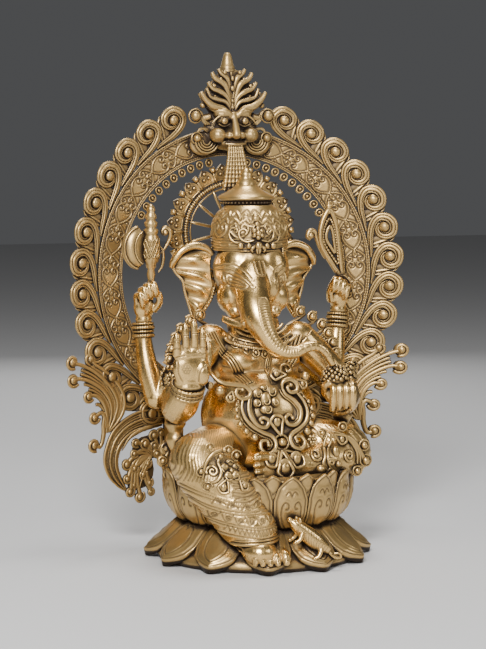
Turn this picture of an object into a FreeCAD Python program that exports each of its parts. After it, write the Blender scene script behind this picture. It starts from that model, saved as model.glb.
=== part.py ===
"""Seated Ganesha idol in cast brass, with its lotus base and its arch, as separate castings.

Millimetres. +Z is up, the figure faces -Y, and the origin is the middle of the base, on the floor.
Right and left are the figure's own: its right side is at -X.
"""

import FreeCAD
import Part
import Sketcher

import math
import os

from FreeCAD import Rotation, Vector

doc = FreeCAD.newDocument("ganesha_idol")

# Driving dimensions, in millimetres and degrees.
DIMENSIONS = {
    "wall": 4.0,
    "gap": 0.3,
    "plate_radius": 88.0,
    "plate_thick": 2.0,
    "screw_circle": 76.0,
    "screw_radius": 2.0,
    "screw_hole": 2.2,
    "screw_length": 9.0,
    "plinth_tip": 128.0,
    "plinth_height": 44.0,
    "plinth_valley": 98.0,
    "plinth_petals": 12,
    "lower_petal_width": 56.0,
    "lower_petal_arc": 52.0,
    "seat_foot": 74.0,
    "seat_belly": 93.0,
    "seat_top": 112.0,
    "seat_petals": 16,
    "seat_petal_thick": 4.0,
    "seat_petal_width": 39.0,
    "seat_petal_arc": 34.0,
    "seat_petal_middle": 71.0,
    "deck_radius": 84.0,
    "deck_level": 92.0,
    "deck_thick": 4.0,
    "rod_radius": 4.0,
    "rod_end": 104.0,
    "nut_radius": 7.5,
    "nut_thick": 6.5,
    "washer_radius": 11.0,
    "washer_thick": 1.6,
    "arch_middle": 310.0,
    "arch_inner": 133.0,
    "arch_outer": 164.0,
    "arch_sweep": 152.0,
    "arch_back": 104.0,
    "arch_thick": 6.0,
    "arch_bend": 450.0,
    "wing_reach": 80.0,
    "wing_thick": 7.0,
    "scroll_circle": 185.0,
    "scroll_first": 20.9,
    "scroll_step": 10.65,
    "scroll_count": 13,
    "scroll_size": 8.2,
    "scroll_wire": 2.8,
    "scroll_ball": 4.9,
    "stem_gap": 1.2,
    "bead_circle": 127.0,
    "bead_first": 10.5,
    "bead_step": 5.3,
    "bead_count": 10,
    "bead_radius": 5.2,
    "halo_level": 357.0,
    "halo_plane": 88.0,
    "halo_radius": 55.0,
    "halo_wire": 3.0,
    "halo_hub": 22.0,
    "halo_spokes": 24,
    "halo_spoke_radius": 1.3,
    "halo_petal_long": 9.5,
    "halo_petal_wide": 6.0,
    "head_turn": 8.0,
    "ear_thick": 4.0,
    "mask_back": 95.5,
    "bar_width": 160.0,
    "bar_foot": 62.0,
    "bar_top": 165.0,
    "bar_gap": 112.0,
    "bar_cross": 102.0,
    "seat_back": 97.2,
    "bolt_radius": 3.0,
    "bolt_spread": 44.0,
    "bolt_level": 76.0,
    "bolt_length": 26.0,
}

# Named places on the object, as x, y, z.
POINTS = {
    "belly": (0, -2, 158),
    "chest": (0, 10, 214),
    "head": (0, 28, 312),
    "crown": (2, 34, 342),
    "parasol": (2, 44, 394),
    "knee_right": (-86, -54, 116),
    "knee_left": (90, -38, 116),
    "palm_right": (-95, -54, 226),
    "fist_left": (74, -55, 181),
    "fist_rear_right": (-113, 58, 280),
    "fist_rear_left": (119, 58, 283),
    "axe_foot": (-110, 58, 300),
    "axe_top": (-104, 58, 374),
    "blade": (-122, 58, 344),
    "noose": (108, 58, 348),
    "sweets": (69, -58, 206),
    "mouse": (16, -112, 34),
    "pectoral": (0, -62, 158),
    "mask": (0, 88, 470),
    "finial": (0, 98, 536),
}

# Round limbs: each station is x, y, z and its radius.
LIMBS = {
    "trunk": [(-8, -8, 300, 19), (-12, -26, 283, 18), (-12, -38, 266, 16), (-7, -46, 250, 13),
              (1, -52, 238, 9.5), (11, -57, 232, 7.2), (22, -60, 233, 6.4), (34, -62, 238, 5.6),
              (45, -63, 238, 5.0), (55, -63, 230, 4.4), (62, -62, 222, 3.8)],
    "thigh_right": [(-36, -4, 124, 26), (-60, -28, 122, 27), (-82, -50, 117, 26)],
    "shin_right": [(-84, -58, 108, 25), (-72, -84, 84, 23), (-56, -98, 60, 21), (-40, -105, 36, 18)],
    "thigh_left": [(36, -2, 122, 25), (62, -20, 121, 26), (86, -36, 118, 27)],
    "shin_left": [(86, -44, 114, 17), (56, -62, 112, 15), (24, -68, 110, 12), (-4, -70, 108, 10)],
    "upper_arm_front_right": [(-54, 8, 238, 18), (-80, 0, 212, 17), (-99, -12, 178, 15)],
    "forearm_front_right": [(-100, -14, 174, 14), (-101, -30, 176, 13), (-99, -43, 190, 11)],
    "upper_arm_front_left": [(54, 8, 238, 18), (82, 0, 210, 16), (100, -12, 178, 13)],
    "forearm_front_left": [(101, -14, 174, 12), (94, -30, 172, 11), (84, -42, 175, 10)],
    "upper_arm_rear_right": [(-50, 28, 236, 14), (-80, 36, 206, 13), (-102, 42, 178, 12)],
    "forearm_rear_right": [(-104, 44, 178, 11.5), (-113, 51, 212, 11), (-115.5, 56, 248, 8.5)],
    "upper_arm_rear_left": [(50, 28, 236, 14), (80, 36, 208, 13), (102, 42, 184, 12)],
    "forearm_rear_left": [(104, 44, 184, 11.5), (113, 51, 218, 11), (119, 56, 254, 8.5)],
    "mouse": [(-4, -110, 57, 3), (3, -110, 51, 6.5), (14, -109, 42, 8.5), (26, -110, 32, 9), (36, -112, 26, 5)],
}

# The wing's outline on the figure's left, as x, z, and the smaller opening in it.
WING = [(70, 140), (103, 146), (126, 138), (146, 134), (131, 155), (127, 171), (134, 187), (150, 201), (168, 222),
        (177, 226), (183, 218), (192, 225), (202, 221), (203, 211), (196, 205), (202, 198), (196, 192), (184, 190),
        (181, 176), (168, 172), (166, 161), (175, 156), (173, 148), (161, 145), (163, 132), (174, 126), (171, 117),
        (160, 118), (159, 104), (169, 99), (166, 93), (157, 92), (157, 84), (166, 79), (161, 72), (148, 77),
        (132, 63), (122, 55), (107, 46), (94, 41), (84, 48), (88, 62), (86, 86), (94, 100), (84, 118), (70, 120)]
WING_GAP = [(104, 118), (120, 112), (130, 100), (127, 84), (122, 92), (116, 103)]


def column(number):
    """The letter of a sheet's column."""
    return "ABCDEFGH"[number]


def make_sheet():
    """Writes every driving value to the sheet, one alias each, and returns the values by alias."""
    sheet = doc.addObject("Spreadsheet::Sheet", "Dims")
    values = dict(DIMENSIONS)
    for name, place in POINTS.items():
        for letter, value in zip("xyz", place):
            values[f"{name}_{letter}"] = value
    for name, stations in LIMBS.items():
        for number, station in enumerate(stations):
            for letter, value in zip(("px", "py", "pz", "size"), station):
                values[f"{name}_{number}_{letter}"] = value
    for row, (alias, value) in enumerate(values.items(), start=1):
        sheet.set(f"A{row}", alias.replace("_", " "))
        sheet.set(f"B{row}", str(value))
        sheet.setAlias(f"B{row}", alias)
    doc.recompute()
    return values


V = make_sheet()


def bind(item, **expressions):
    """Binds an object's properties to expressions; a bare word is the alias of a sheet cell."""
    for name, text in expressions.items():
        item.setExpression(name, f"Dims.{text}" if str(text).isidentifier() else str(text))
    return item


def place(item, x="0", y="0", z="0", turn=None):
    """Binds where an object stands, and sets its rotation; a plain "0" is left unbound."""
    item.Placement = FreeCAD.Placement(Vector(0, 0, 0), turn or Rotation())
    for letter, text in zip("xyz", (x, y, z)):
        if text == "0":
            continue
        expression = f"Dims.{text}" if str(text).isidentifier() else str(text)
        item.setExpression(f"Placement.Base.{letter}", expression)
    return item


def solid(kind, name, x="0", y="0", z="0", turn=None, **sizes):
    """A Part primitive with its sizes and place bound to the sheet."""
    item = doc.addObject(f"Part::{kind}", name)
    bind(item, **sizes)
    return place(item, x, y, z, turn)


def ball(name, point, rx, ry, rz, turn=None, dx=0, dy=0, dz=0):
    """An ellipsoid about a named point: half-sizes rx, ry and rz along the axes."""
    item = solid("Ellipsoid", name, f"Dims.{point}_x + {dx}", f"Dims.{point}_y + {dy}",
                 f"Dims.{point}_z + {dz}", turn, Radius1=rz, Radius2=rx, Radius3=ry)
    item.Angle1, item.Angle2, item.Angle3 = -90, 90, 360
    return item


def fuse(name, items):
    """One solid from several that run into each other."""
    item = doc.addObject("Part::MultiFuse", name)
    item.Shapes = items
    item.Refine = False
    return item


def cut(name, base, *tools):
    """base less each tool, in turn."""
    for number, tool in enumerate(tools):
        item = doc.addObject("Part::Cut", f"{name}_{number}")
        item.Base, item.Tool = base, tool
        base = item
    return base


def common(name, first, second):
    """What two solids share."""
    item = doc.addObject("Part::Common", name)
    item.Base, item.Tool = first, second
    return item


def group(name, items):
    """Separate solids kept together as one sub-part."""
    item = doc.addObject("Part::Compound", name)
    item.Links = items
    return item


def mirror(name, source):
    """The same piece on the other side of the YZ plane."""
    item = doc.addObject("Part::Mirroring", name)
    item.Source = source
    item.Normal = Vector(1, 0, 0)
    return item


def limb(name):
    """A round limb lofted through the circles of its stations."""
    stations = [Vector(*station[:3]) for station in LIMBS[name]]
    circles = []
    for number, here in enumerate(stations):
        before = stations[max(number - 1, 0)]
        after = stations[min(number + 1, len(stations) - 1)]
        circle = solid("Circle", f"{name}_circle", f"{name}_{number}_px", f"{name}_{number}_py",
                       f"{name}_{number}_pz", Rotation(Vector(0, 0, 1), after - before),
                       Radius=f"{name}_{number}_size")
        circles.append(circle)
    item = doc.addObject("Part::Loft", name)
    item.Sections = circles
    item.Solid = True
    item.Ruled = False
    return item


def knuckle(name, station, size):
    """A ball at one end of a limb, to round it off."""
    count = len(LIMBS[name])
    number = station % count
    cell = f"Dims.{name}_{number}_"
    return solid("Sphere", f"{name}_knuckle", f"{cell}px", f"{cell}py", f"{cell}pz", Radius=size)


PARTS = {}


def part(label, item):
    """Names a finished sub-part. The label is also its file's name."""
    item.Label = label
    PARTS[label] = item
    return item


def body_plane(body, role):
    """One of a body's own origin planes."""
    return next(item for item in body.Origin.OriginFeatures if item.Role == role)


def sketch_on(body, name, role):
    """An empty sketch on one of a body's origin planes."""
    sketch = body.newObject("Sketcher::SketchObject", name)
    sketch.AttachmentSupport = [(body_plane(body, role), "")]
    sketch.MapMode = "FlatFace"
    return sketch


def turned(name, profile):
    """A body turned about Z from a closed profile of (radius, height) corners."""
    body = doc.addObject("PartDesign::Body", name)
    sketch = sketch_on(body, f"{name}_profile", "XZ_Plane")
    corners = [Vector(radius, height, 0) for radius, height in profile]
    for start, end in zip(corners, corners[1:] + corners[:1]):
        sketch.addGeometry(Part.LineSegment(start, end))
    turn = body.newObject("PartDesign::Revolution", f"{name}_turn")
    turn.Profile = sketch
    turn.ReferenceAxis = (sketch, ["V_Axis"])
    turn.Angle = 360
    body.Tip = turn
    return body


def polar(number, count, first=0.0):
    """A turn about Z to one of count even places, with the first place at the front."""
    return Rotation(Vector(0, 0, 1), first + 360.0 * number / count)


# --- base -------------------------------------------------------------------------------------------


def round_outline(body, name, x, radius):
    """A sketch in a body's XY plane with one circle, its radius bound to a sheet cell."""
    sketch = sketch_on(body, name, "XY_Plane")
    sketch.addGeometry(Part.Circle(Vector(x, 0, 0), Vector(0, 0, 1), V[radius]))
    sketch.addConstraint(Sketcher.Constraint("Radius", 0, V[radius]))
    sketch.setExpression("Constraints[0]", f"Dims.{radius}")
    return sketch


def make_base_plate():
    """The closing plate under the plinth, with its screw holes."""
    body = doc.addObject("PartDesign::Body", "base_plate_body")
    pad = body.newObject("PartDesign::Pad", "plate_pad")
    pad.Profile = round_outline(body, "plate_outline", 0, "plate_radius")
    pad.setExpression("Length", "Dims.plate_thick")
    doc.recompute()
    hole = round_outline(body, "plate_hole", V["screw_circle"], "screw_hole")
    pocket = body.newObject("PartDesign::Pocket", "plate_pocket")
    pocket.Profile = hole
    pocket.Reversed = True
    pocket.Type = 1
    doc.recompute()
    pattern = body.newObject("PartDesign::PolarPattern", "plate_holes")
    pattern.Originals = [pocket]
    pattern.Axis = (hole, ["N_Axis"])
    pattern.Angle = 360
    pattern.Occurrences = 4
    body.Tip = pattern
    return body


def pointed_prism(name, middle, width, arc, length, upright, turn):
    """A prism whose section is pointed at both ends: where two round bars overlap.

    The bars stand upright for petals seen from above, or lie radially for petals seen from the side.
    """
    offset = f"(Dims.{arc} - Dims.{width} / 2)"
    bars = []
    for side in (1, -1):
        bar = doc.addObject("Part::Cylinder", f"{name}_bar")
        bind(bar, Radius=arc, Height=length)
        if upright:
            base = Vector(side * (V[arc] - V[width] / 2), -middle, 0)
            lean = Rotation()
        else:
            base = Vector(side * (V[arc] - V[width] / 2), -30, middle)
            lean = Rotation(Vector(1, 0, 0), 90)
        bar.Placement = FreeCAD.Placement(turn.multVec(base), turn.multiply(lean))
        bars.append(bar)
    return common(name, *bars)


def make_plinth():
    """Lower lotus: a hollow turned dome cut to a star of pointed petals."""
    top, bore = V["plinth_height"], V["rod_radius"] + 0.5
    dome = turned("plinth_dome", [
        (V["plinth_tip"] + 2, 0), (V["plinth_tip"] + 2, 7), (112, 15), (98, 27), (86, 38), (78, top), (bore, top),
        (bore, top - V["wall"]), (70, top - V["wall"]), (80, 31), (88, 14), (68, 12), (68, 2.2), (92, 2.2), (92, 0)])
    count = V["plinth_petals"]
    half = math.sqrt(V["lower_petal_arc"] ** 2 - (V["lower_petal_arc"] - V["lower_petal_width"] / 2) ** 2)
    middle = V["plinth_tip"] - half
    star = [pointed_prism("lower_petal", middle, "lower_petal_width", "lower_petal_arc", "plinth_height", True,
                          polar(number + 0.5, count)) for number in range(count)]
    star.append(solid("Cylinder", "plinth_core", Radius="plinth_valley", Height="plinth_height"))
    shell = common("plinth_star", dome, fuse("plinth_mask", star))
    return cut("plinth_drilled", shell, *screw_tools("plinth_hole", V["screw_radius"], 0))


def screw_tools(name, radius, lift):
    """The four screw shanks at their places, as cylinders."""
    shanks = []
    for number in range(4):
        turn = Rotation(Vector(0, 0, 1), 90.0 * number)
        shank = solid("Cylinder", name, Radius=str(radius), Height="screw_length")
        shank.Placement = FreeCAD.Placement(turn.multVec(Vector(V["screw_circle"], 0, lift)), turn)
        shanks.append(shank)
    return shanks


def seat_profile(offset):
    """Outer line of the lotus cup, moved out by offset, from foot to rim, as (radius, height)."""
    return [(74 + offset, 44), (84 + offset, 52), (91 + offset, 66), (93 + offset, 84),
            (91 + offset, 100), (92 + offset, V["seat_top"]), (96 + offset, 122)]


def make_seat_core():
    """The cup behind the petals: a turned shell open above and below."""
    outer = seat_profile(0)[:5]
    inner = [(radius - V["wall"], height) for radius, height in reversed(outer)]
    return turned("seat_core_body", outer + inner[:-1] + [(V["rod_radius"] + 0.5, 44 + V["wall"]),
                                                         (V["rod_radius"] + 0.5, 44)])


def make_seat_petals(name, inside, first, shorten):
    """A ring of upright petals on the cup, each cut from a turned shell."""
    count = V["seat_petals"]
    petals = []
    inner = seat_profile(inside)
    outer = [(radius + V["seat_petal_thick"], height) for radius, height in reversed(inner)]
    for number in range(count):
        shell = turned(f"{name}_shell", inner + outer) if number == 0 else shell
        prism = pointed_prism(f"{name}_outline", V["seat_petal_middle"] - shorten, "seat_petal_width",
                              "seat_petal_arc", "plinth_tip", False, polar(number + first, count))
        petals.append(common(f"{name}_petal", shell, prism))
    return group(name, petals)


def make_base():
    """Everything below the figure."""
    part("base_plate", make_base_plate())
    heads = [solid("Cone", "screw_head", Radius1="3.6", Radius2="2", Height="1.6") for _ in range(4)]
    screws = []
    for number, shank in enumerate(screw_tools("screw_shank", V["screw_radius"], 0)):
        heads[number].Placement = shank.Placement
        screws.append(fuse("screw", [shank, heads[number]]))
    part("base_screws", group("screws", screws))
    countersunk = [solid("Cone", "sink", Radius1="3.7", Radius2="2.2", Height="1.6") for _ in range(4)]
    for sink, shank in zip(countersunk, screws):
        sink.Placement = shank.Shapes[0].Placement
    plate = PARTS["base_plate"]
    plate.Label = "plate_blank"
    part("base_plate", cut("plate_sunk", plate, *countersunk))
    part("lotus_plinth", make_plinth())
    sides = (-V["bolt_spread"] / 2, V["bolt_spread"] / 2)
    rooms = [seat_bolt("core_hole", x, "3.2", 112, 40) for x in sides]
    nuts = [seat_bolt("nut_room", x, "7", 86.2, 10) for x in sides]
    part("seat_core", cut("core_cut", make_seat_core(), *rooms, *nuts))
    behind = solid("Box", "behind_seat", "-100", "seat_back", "20", Length="200", Width="50", Height="200")
    inner = make_seat_petals("petals_inner", 0, 0.0, 2.0)
    outer = make_seat_petals("petals_outer", V["seat_petal_thick"], 0.5, 0.0)
    part("seat_petals_inner", cut("petals_inner_cut", inner, behind, *rooms))
    part("seat_petals_outer", cut("petals_outer_cut", outer, behind, *rooms))
    deck = solid("Cylinder", "deck_disc", z="deck_level", Radius="deck_radius", Height="deck_thick")
    bore = solid("Cylinder", "deck_bore", z="deck_level - 1", Radius="rod_radius + 0.5", Height="deck_thick + 2")
    bind(bore, Radius="Dims.rod_radius + 0.5", Height="Dims.deck_thick + 2")
    place(bore, z="Dims.deck_level - 1")
    part("seat_deck", cut("deck", deck, bore))
    rod = solid("Cylinder", "rod", z="30", Radius="rod_radius", Height="Dims.rod_end - 30")
    part("centre_rod", rod)
    part("rod_fixings", group("fixings", [*nut_set("lower", 40.0, -1), *nut_set("upper", 96.0, 1)]))


def nut_set(name, level, way):
    """A washer against a face at a level, and the nut that holds it, both round the rod."""
    pieces = []
    washer_level = level if way > 0 else level - V["washer_thick"]
    nut_level = level + V["washer_thick"] if way > 0 else level - V["washer_thick"] - V["nut_thick"]
    washer = solid("Cylinder", f"{name}_washer", z=str(washer_level), Radius="washer_radius",
                   Height="washer_thick")
    nut = doc.addObject("Part::Prism", f"{name}_nut")
    nut.Polygon = 6
    bind(nut, Circumradius="nut_radius", Height="nut_thick")
    place(nut, z=str(nut_level))
    for blank in (washer, nut):
        bore = solid("Cylinder", f"{name}_bore", z="20", Radius="rod_radius", Height="100")
        pieces.append(cut(f"{name}_bored", blank, bore))
    return pieces


# --- figure -----------------------------------------------------------------------------------------


def make_torso():
    """Belly and chest in one hollow casting, flat where it sits on the deck."""
    outside = fuse("torso_out", [ball("belly_out", "belly", "68", "54", "60"),
                                 ball("chest_out", "chest", "54", "36", "48")])
    inside = fuse("torso_in", [ball("belly_in", "belly", "63", "49", "55"),
                               ball("chest_in", "chest", "49", "31", "43")])
    below = solid("Box", "below_deck", "-150", "-150", "0", Length="300", Width="300",
                  Height="Dims.deck_level + Dims.deck_thick")
    return cut("torso_cut", outside, inside, below)


def make_legs(torso):
    """Both legs in their cloth, and both feet."""
    deck = solid("Cylinder", "seat_space", z="0", Radius="Dims.deck_radius + 22",
                 Height="Dims.deck_level + Dims.deck_thick")
    right = fuse("leg_right_all", [limb("thigh_right"), limb("shin_right"),
                                   knuckle("thigh_right", -1, "26")])
    left = fuse("leg_left_all", [limb("thigh_left"), knuckle("thigh_left", -1, "28"), limb("shin_left")])
    torso_space = ball("belly_space", "belly", "68", "54", "60")
    part("leg_right", cut("leg_right_cut", right, torso_space, deck_space()))
    part("leg_left", cut("leg_left_cut", left, torso_space, deck))
    foot = solid("Ellipsoid", "foot_right_ball", "-30", "-115", "24", Radius1="14", Radius2="20", Radius3="21")
    foot.Angle1, foot.Angle2, foot.Angle3 = -90, 90, 360
    sole = solid("Box", "under_sole", "-100", "-180", "0", Length="200", Width="150", Height="14")
    part("foot_right", cut("foot_right_cut", foot, sole, limb_space("shin_right")))
    toe = solid("Ellipsoid", "foot_left_ball", "-20", "-72", "109", Radius1="13", Radius2="16", Radius3="9")
    toe.Angle1, toe.Angle2, toe.Angle3 = -90, 90, 360
    part("foot_left", cut("foot_left_cut", toe, limb_space("shin_left"), torso_space))
    return torso


def deck_space():
    """The room the lotus seat takes up, which the pendant leg passes in front of."""
    return solid("Cone", "seat_room", z="0", Radius1="88", Radius2="86", Height="Dims.deck_level + Dims.deck_thick")


def limb_space(name):
    """A second copy of a limb, to cut its neighbours to it."""
    return limb(name)


def make_head():
    """Hollow head with its cheeks, turned a little to the right."""
    turn = Rotation(Vector(0, 0, 1), -V["head_turn"])
    shell = [ball("skull", "head", "43", "38", "44", turn), ball("cheek_one", "head", "17", "22", "20", turn, -24, -12, -20),
             ball("cheek_two", "head", "17", "22", "20", turn, 17, -15, -20)]
    hollow = ball("skull_in", "head", "37", "32", "38", turn)
    crown_room = solid("Box", "crown_room", "-80", "-60", "Dims.crown_z", Length="160", Width="180", Height="120")
    chest = ball("chest_room", "chest", "54", "36", "48")
    head = cut("head_cut", fuse("head_all", shell), hollow, crown_room, chest)
    part("head", head)
    snout = cut("trunk_cut", limb("trunk"), *[ball("skull_room", "head", "43", "38", "44", turn)],
                ball("cheek_room_one", "head", "17", "22", "20", turn, -24, -12, -20),
                ball("cheek_room_two", "head", "17", "22", "20", turn, 17, -15, -20))
    part("trunk", snout)


def make_ears():
    """Ears as leaf-shaped plates that stand out from the sides of the head."""
    outline = [(40, 336), (56, 341), (72, 339), (82, 327), (84, 314), (72, 306), (70, 292), (66, 278), (60, 262),
               (52, 268), (44, 282), (38, 290)]
    ear = plate("ear", outline, 50, "ear_thick")
    turn = Rotation(Vector(0, 0, 1), -V["head_turn"])
    left = cut("ear_left_cut", ear, ball("ear_skull", "head", "43", "38", "44", turn))
    part("ear_left", left)
    other = mirror("ear_mirror", ear)
    part("ear_right", cut("ear_right_cut", other, ball("ear_skull_two", "head", "43", "38", "44", turn)))


def make_crown():
    """Crown: the band, the dome, the crest at the front and the parasol on top."""
    band = turned("band_body", [(42, 0), (43, 14), (38, 14), (37, 0)])
    place(band, "crown_x", "crown_y", "crown_z")
    part("crown_band", band)
    dome = turned("dome_body", [(42.7, 14), (41, 28), (36, 40), (29, 50), (0, 50), (0, 46), (27, 46),
                                (33, 38), (37, 27), (38, 14)])
    place(dome, "crown_x", "crown_y", "crown_z")
    part("crown_dome", dome)
    crest = solid("Ellipsoid", "crest", "Dims.crown_x - 7", "Dims.crown_y - 45", "Dims.crown_z + 14",
                  Radius1="22", Radius2="11", Radius3="5")
    crest.Angle1, crest.Angle2, crest.Angle3 = -90, 90, 360
    room = turned("crest_room", [(0, 0), (42, 0), (43, 14), (41, 28), (36, 40), (0, 40)])
    place(room, "crown_x", "crown_y", "crown_z")
    turn = Rotation(Vector(0, 0, 1), -V["head_turn"])
    part("crown_crest", cut("crest_cut", crest, room, ball("crest_skull", "head", "43", "38", "44", turn)))
    parasol = turned("parasol_body", [(0, -2), (27, -2), (31, 0), (31, 3), (20, 9), (10, 15), (6, 24), (4, 34), (0, 36)])
    place(parasol, "parasol_x", "parasol_y", "parasol_z")
    part("crown_parasol", parasol)


def make_halo():
    """Wheel behind the crown: a ring, its spokes and hub, and its edge of pointed petals."""
    facing = Rotation(Vector(1, 0, 0), 90)
    ring = solid("Torus", "halo_rim", "0", "halo_plane", "halo_level", facing, Radius1="halo_radius",
                 Radius2="halo_wire")
    ring.Angle1, ring.Angle2, ring.Angle3 = -180, 180, 360
    part("halo_ring", ring)
    hub = solid("Cylinder", "halo_hub_disc", "0", "Dims.halo_plane + 2", "halo_level", facing, Radius="halo_hub",
                Height="4")
    spokes = [hub]
    count = V["halo_spokes"]
    for number in range(count):
        lean = Rotation(Vector(0, 1, 0), 360.0 * number / count)
        spoke = solid("Cylinder", "spoke", Radius="halo_spoke_radius",
                      Height="Dims.halo_radius - Dims.halo_wire - Dims.halo_hub + 1")
        start = lean.multVec(Vector(0, 0, V["halo_hub"] - 1))
        spoke.Placement = FreeCAD.Placement(start + Vector(0, V["halo_plane"], V["halo_level"]), lean)
        spokes.append(spoke)
    part("halo_spokes", fuse("wheel", spokes))
    petals = []
    reach = V["halo_radius"] + V["halo_wire"] + V["halo_petal_long"] + V["gap"]
    for number in range(count):
        lean = Rotation(Vector(0, 1, 0), 360.0 * (number + 0.5) / count)
        petal = solid("Ellipsoid", "halo_petal", Radius1="halo_petal_long", Radius2="halo_petal_wide", Radius3="2.5")
        petal.Angle1, petal.Angle2, petal.Angle3 = -90, 90, 360
        centre = lean.multVec(Vector(0, 0, reach)) + Vector(0, V["halo_plane"], V["halo_level"])
        petal.Placement = FreeCAD.Placement(centre, lean)
        petals.append(petal)
    part("halo_petals", group("halo_edge", petals))


def make_arms():
    """Four arms cut to the torso, each with its own hand."""
    for side, sign in (("right", 1), ("left", -1)):
        for row in ("front", "rear"):
            upper, fore = f"upper_arm_{row}_{side}", f"forearm_{row}_{side}"
            elbow = LIMBS[upper][-1][3]
            arm = fuse(f"arm_{row}_{side}_all", [limb(upper), knuckle(upper, -1, str(elbow + 0.5)), limb(fore)])
            rooms = [ball("arm_belly", "belly", "68", "54", "60"), ball("arm_chest", "chest", "54", "36", "48")]
            if row == "rear":
                rooms.append(limb(f"upper_arm_front_{side}"))
            part(f"arm_{row}_{side}", cut(f"arm_{row}_{side}_cut", arm, *rooms))
    palm = [ball("palm_pad", "palm_right", "16", "7", "19"), ]
    for number in range(4):
        finger = solid("Cylinder", "finger", f"Dims.palm_right_x + {-13.5 + 7.5 * number}", "Dims.palm_right_y - 1",
                       "Dims.palm_right_z + 8", Radius="3.7", Height=str([28, 34, 36, 32][number]))
        palm.append(finger)
    thumb = solid("Cylinder", "thumb", "Dims.palm_right_x + 15", "Dims.palm_right_y - 1", "Dims.palm_right_z - 10",
                  Rotation(Vector(0, 1, 0), 12), Radius="4", Height="34")
    wrist = ball("wrist_pad", "palm_right", "12", "9", "12", None, -2, 3, -22)
    part("hand_front_right", cut("palm_cut", fuse("palm", [*palm, thumb, wrist]), limb("forearm_front_right")))
    fist = ball("fist", "fist_left", "18", "14", "17")
    part("hand_front_left", cut("fist_cut", fist, limb("forearm_front_left")))
    for side in ("right", "left"):
        hand = ball(f"fist_rear_{side}_ball", f"fist_rear_{side}", "13", "11", "23")
        tools = [limb(f"forearm_rear_{side}")]
        part(f"hand_rear_{side}", cut(f"fist_rear_{side}_cut", hand, *tools))


def ring_about(name, limb_name, share, size, wire):
    """A ring round a limb, at a share of the way between its last two stations."""
    first, last = (Vector(*station[:3]) for station in LIMBS[limb_name][-2:])
    middle = first + (last - first) * share
    ring = solid("Torus", name, Radius1=str(size + wire), Radius2=str(wire))
    ring.Angle1, ring.Angle2, ring.Angle3 = -180, 180, 360
    ring.Placement = FreeCAD.Placement(middle, Rotation(Vector(0, 0, 1), last - first))
    return ring


def make_bangles():
    """Bangles at the four wrists and armlets on the front arms."""
    bangles, armlets = [], []
    for side in ("right", "left"):
        bangles.append(ring_about("bangle_front", f"forearm_front_{side}", 0.75, 11.6, 2.0))
        bangles.append(ring_about("bangle_rear", f"forearm_rear_{side}", 0.92, 9.4, 1.9))
        bangles.append(ring_about("bangle_rear_low", f"forearm_rear_{side}", 0.78, 9.8, 1.6))
        armlets.append(ring_about("armlet", f"upper_arm_front_{side}", 0.2, 17.0, 2.2))
    part("bangles", group("bangle_set", bangles))
    part("armlets", group("armlet_set", armlets))


def make_attributes():
    """What the hands hold: axe, noose and sweets."""
    foot, top = (Vector(*POINTS[name]) for name in ("axe_foot", "axe_top"))
    lean = Rotation(Vector(0, 0, 1), top - foot)
    length = (top - foot).Length
    handle = solid("Cylinder", "handle", "axe_foot_x", "axe_foot_y", "axe_foot_z", lean, Radius="3.6",
                   Height=str(length))
    socket = solid("Cylinder", "axe_socket", Radius="8.5", Height="24")
    socket.Placement = FreeCAD.Placement(foot + (top - foot) * 0.42, lean)
    bulb = solid("Sphere", "axe_bulb", "axe_top_x", "axe_top_y", "axe_top_z", Radius="5")
    part("axe_handle", fuse("axe_shaft", [handle, socket, bulb]))
    disc = solid("Cylinder", "blade_disc", "Dims.blade_x + 2", "Dims.blade_y + 2", "blade_z",
                 Rotation(Vector(1, 0, 0), 90), Radius="21", Height="4")
    hollows = [solid("Cylinder", "blade_hollow", "Dims.blade_x + 12", "Dims.blade_y + 5", f"Dims.blade_z + {lift}",
                     Rotation(Vector(1, 0, 0), 90), Radius="11", Height="10") for lift in (20, -20)]
    side = solid("Box", "blade_side", "Dims.blade_x + 15", "Dims.blade_y - 20", "Dims.blade_z - 40", Length="40",
                 Width="40", Height="80")
    socket_room = solid("Cylinder", "socket_room", Radius="8.5", Height="24")
    socket_room.Placement = socket.Placement
    part("axe_blade", cut("blade_cut", disc, *hollows, side, socket_room))
    outer = ball("noose_out", "noose", "12.5", "4", "38")
    inner = ball("noose_in", "noose", "4", "9", "21", None, -1, 0, 6)
    part("noose", cut("noose_cut", outer, inner, ball("noose_hand", "fist_rear_left", "13", "11", "23")))
    pile = ball("pile", "sweets", "14", "13", "13")
    part("modak", cut("pile_cut", pile, ball("pile_fist", "fist_left", "18", "14", "17"), limb("trunk")))


def shell_band(name, below, above, reach):
    """The slice of a skin round the torso between two heights, reach millimetres thick."""
    skin = [ball(f"{name}_belly", "belly", str(68 + reach), str(54 + reach), str(60 + reach)),
            ball(f"{name}_chest", "chest", str(54 + reach), str(36 + reach), str(48 + reach))]
    room = [ball(f"{name}_belly_room", "belly", "68", "54", "60"), ball(f"{name}_chest_room", "chest", "54", "36", "48")]
    slab = solid("Box", f"{name}_slab", "-40", "-90", str(below), Length="80", Width="80", Height=str(above - below))
    return cut(f"{name}_skin", common(f"{name}_slice", fuse(f"{name}_out", skin), slab), *room)


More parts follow.
